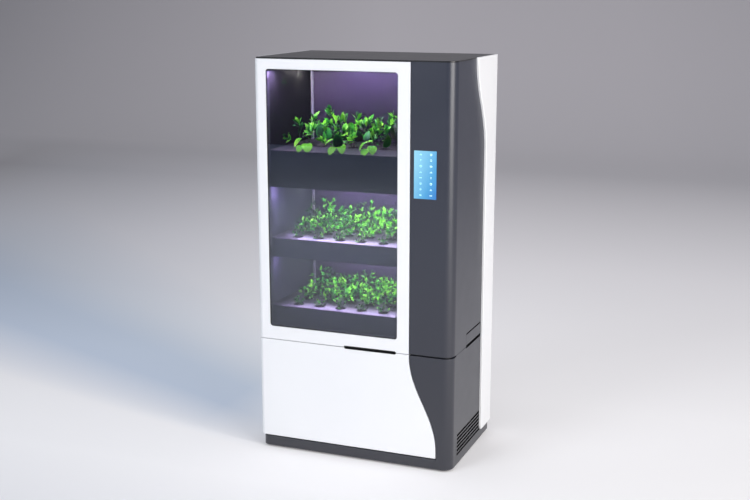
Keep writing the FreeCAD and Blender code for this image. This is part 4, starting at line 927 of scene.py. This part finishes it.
def herb(feet, heights, number, spread, leaflets, sizes, outline, broad, lit_tone, random):
    """Stalks in a spiral round each foot, taller in the middle, each with its leaflets. A
    leaflet stands a way t up the stalk, turned about it by one angle and tilted away from it
    by another, with its upper face towards the stalk."""
    plants = len(feet)
    turn = 2.4 * np.arange(number) + random.uniform(0.0, 6.28, (plants, 1)) + random.normal(
        0.0, 0.25, (plants, number))
    share = (np.arange(number) + 0.5) / number
    outward = np.stack([np.cos(turn), np.sin(turn), 0.0 * turn], -1).reshape(-1, 3)
    beside = np.stack([-np.sin(turn), np.cos(turn), 0.0 * turn], -1).reshape(-1, 3)
    tall = heights[:, None] * (1.0 - 0.55 * share ** 1.2) * random.uniform(0.85, 1.0, (plants, number))
    lean = heights[:, None] * spread * (0.15 + share) * random.uniform(0.8, 1.2, (plants, number))
    tall, lean = tall.ravel(), lean.ravel()
    foot = np.repeat(feet, number, 0) + 0.005 * outward
    stems = stalks(foot, lean[:, None] * outward, tall, np.full(len(foot), 0.0009))
    roots, alongs, faces, lengths, tones = [], [], [], [], []
    for t, way, tilt, scale in leaflets:
        root = foot + tall[:, None] * t * up + (lean * t ** 1.7)[:, None] * outward
        stalk = unit(tall[:, None] * up + (1.7 * lean * t ** 0.7)[:, None] * outward)
        way = way + random.normal(0.0, 0.25, (len(root), 1))
        tilt = tilt + random.normal(0.0, 0.14, (len(root), 1))
        radial = beside * np.cos(way) + np.cross(stalk, beside) * np.sin(way)
        roots.append(root)
        alongs.append(stalk * np.cos(tilt) + radial * np.sin(tilt))
        faces.append(stalk * np.sin(tilt) - radial * np.cos(tilt))
        lengths.append(np.repeat(sizes, number) * scale * random.uniform(0.8, 1.15, len(root)))
        # Painted light: leaflets higher up a stalk are paler, on top of the plant's painted tone and a random
        # spread.
        tone = np.repeat(lit_tone, number) + 0.28 * t + random.normal(0.0, 0.38, len(root))
        tones.append(np.clip(tone, 0.16, 1.1))
    lengths = np.concatenate(lengths)
    blades = leaves(np.concatenate(roots), np.concatenate(alongs), np.concatenate(faces), lengths,
                    lengths * broad, random.uniform(0.0, 0.3, len(lengths)), outline)
    return [(stems, np.full(len(stems), 0.06)), (blades, np.concatenate(tones))]


leaf = Finish("leaf")
leaf_map = leaf.node("ShaderNodeUVMap", {"uv_map": "leaf_place"})
round_way = leaf.node("ShaderNodeSeparateXYZ", values={"Vector": leaf_map}, output=0)
along_way = leaf.node("ShaderNodeSeparateXYZ", values={"Vector": leaf_map}, output=1)
tone = leaf.node("ShaderNodeAttribute", {"attribute_name": "tone"}, output=2)
vein = (along_way * 9.0 - round_way * 2.5).work("FRACT").over(0.86)
# Painted light: each leaf is paler at its edges and towards its tip than at its base.
leaf_shade = leaf.ramp(
    tone + round_way ** 4.0 * 0.26 + along_way * 0.42 - 0.30 + leaf.noise(90.0, 2.0) * 0.12 - 0.06,
    (0.0, (0.035, 0.028, 0.014)), (0.12, (0.010, 0.030, 0.008)), (0.24, (0.003, 0.045, 0.008)),
    (0.44, (0.014, 0.20, 0.022)), (0.68, (0.065, 0.52, 0.03)), (1.0, (0.29, 0.86, 0.05)))
leaf_finish = leaf.surface(
    base_color=leaf_shade, roughness=leaf.noise(120.0) * 0.1 + 0.46, specular_ior_level=0.3,
    normal=leaf.bump(vein, 0.3, 0.0002))


def feet_of(level):
    """The feet of a level's plants, and how far back each stands: 0 in front, 1 at the back."""
    height = np.full(len(planting[level]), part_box(level + "_deck")[1][2] - 0.004)
    feet = np.column_stack([planting[level], height])
    return feet, (feet[:, 1] - feet[:, 1].min()) / np.ptp(feet[:, 1])


random = np.random.default_rng(11)
feet, depth = feet_of("upper")
tallness = 0.112 + 0.02 * np.sin(3.1 * np.arange(len(feet)) + 1.0)
even = np.ones(len(feet))
cup = [(1.0 - 0.05 * (n % 3), 0.9 * n, 0.30 + 0.17 * (n % 3), 1.0 - 0.14 * (n % 3)) for n in range(7)]
herbs = herb(feet, tallness, 5, 0.55, cup + [(0.62, 0.4, 0.8, 0.50), (0.52, 3.4, 0.8, 0.45)],
             0.042 * even, toothed, 0.21, 0.40 * even, random)
# Painted shade: the broad round leaves at half height take dark tones.
herbs += herb(feet, tallness * 0.52, 2, 0.95, ((1.0, 1.6, 0.9, 1.0),), 0.050 * even, round_leaf, 0.40,
              0.06 * even, random)
front = feet[depth < 0.1]
drape = np.repeat(front, 3, 0) + (0.0, -0.006, 0.004)
swing = np.tile([-0.95, -0.25, 0.5], len(front)) + random.normal(0.0, 0.15, 3 * len(front))
outward = np.stack([np.sin(swing), -np.cos(swing), 0.0 * swing], -1)
reach = random.uniform(0.018, 0.030, len(drape))
rise = 0.6 * reach + np.tile([0.034, 0.008, 0.016], len(front)) * random.uniform(0.8, 1.2, len(drape))
bent = stalks(drape, outward * reach[:, None], rise, np.full(len(drape), 0.0011))
herbs.append((bent, np.full(len(drape), 0.1)))
slope = random.uniform(0.35, 0.8, (len(drape), 1))
along = unit(outward * np.cos(slope) - up * np.sin(slope))
root = drape + outward * reach[:, None] + rise[:, None] * up
length, half_width = random.uniform(0.036, 0.044, len(drape)), random.uniform(0.018, 0.022, len(drape))
hanging = leaves(root, along, np.cross(along, np.cross(up, outward)), length, half_width,
                 np.full(len(drape), 0.2), round_leaf)
# Painted light: the hanging leaves at the front take the palest tones.
herbs.append((hanging, random.uniform(0.95, 1.1, len(drape))))
upper_herbs = piece("upper_herbs", foliage_mesh("upper_herbs", herbs), leaf_finish)
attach(upper_herbs, "upper_planter")
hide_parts("upper_plants")

sprig = [(0.45, 0.3, 0.9, 0.8), (0.50, 3.4, 0.9, 0.8), (0.74, 1.9, 0.8, 0.95), (0.78, 5.0, 0.8, 0.95),
         (1.0, 0.2, 0.45, 1.0), (1.0, 2.3, 0.45, 1.0), (1.0, 4.4, 0.45, 1.0)]
for level, growth in (("middle", 0.070), ("lower", 0.050)):
    feet, depth = feet_of(level)
    tallness = (0.028 + growth * depth ** 0.8) * (1.0 + 0.16 * np.sin(2.3 * np.arange(len(feet)) + 0.7))
    rightness = np.clip((feet[:, 0] + 0.33) / 0.30, 0.0, 1.0)
    # Painted light and shade: plants further right and further back are paler, those on the left darker.
    lit_tone = 0.14 + 0.36 * rightness * np.clip(depth * 2.0, 0.3, 1.0)
    small = depth < 0.2
    seedlings = []
    for group, number, size in ((small, 5, 0.013), (~small, 10, 0.024)):
        seedlings += herb(feet[group], tallness[group], number, 0.55, sprig, np.full(group.sum(), size),
                          pointed, 0.26, lit_tone[group], random)
    bed = piece(level + "_seedlings", foliage_mesh(level + "_seedlings", seedlings), leaf_finish)
    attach(bed, level + "_planter")
    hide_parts(level + "_plants")
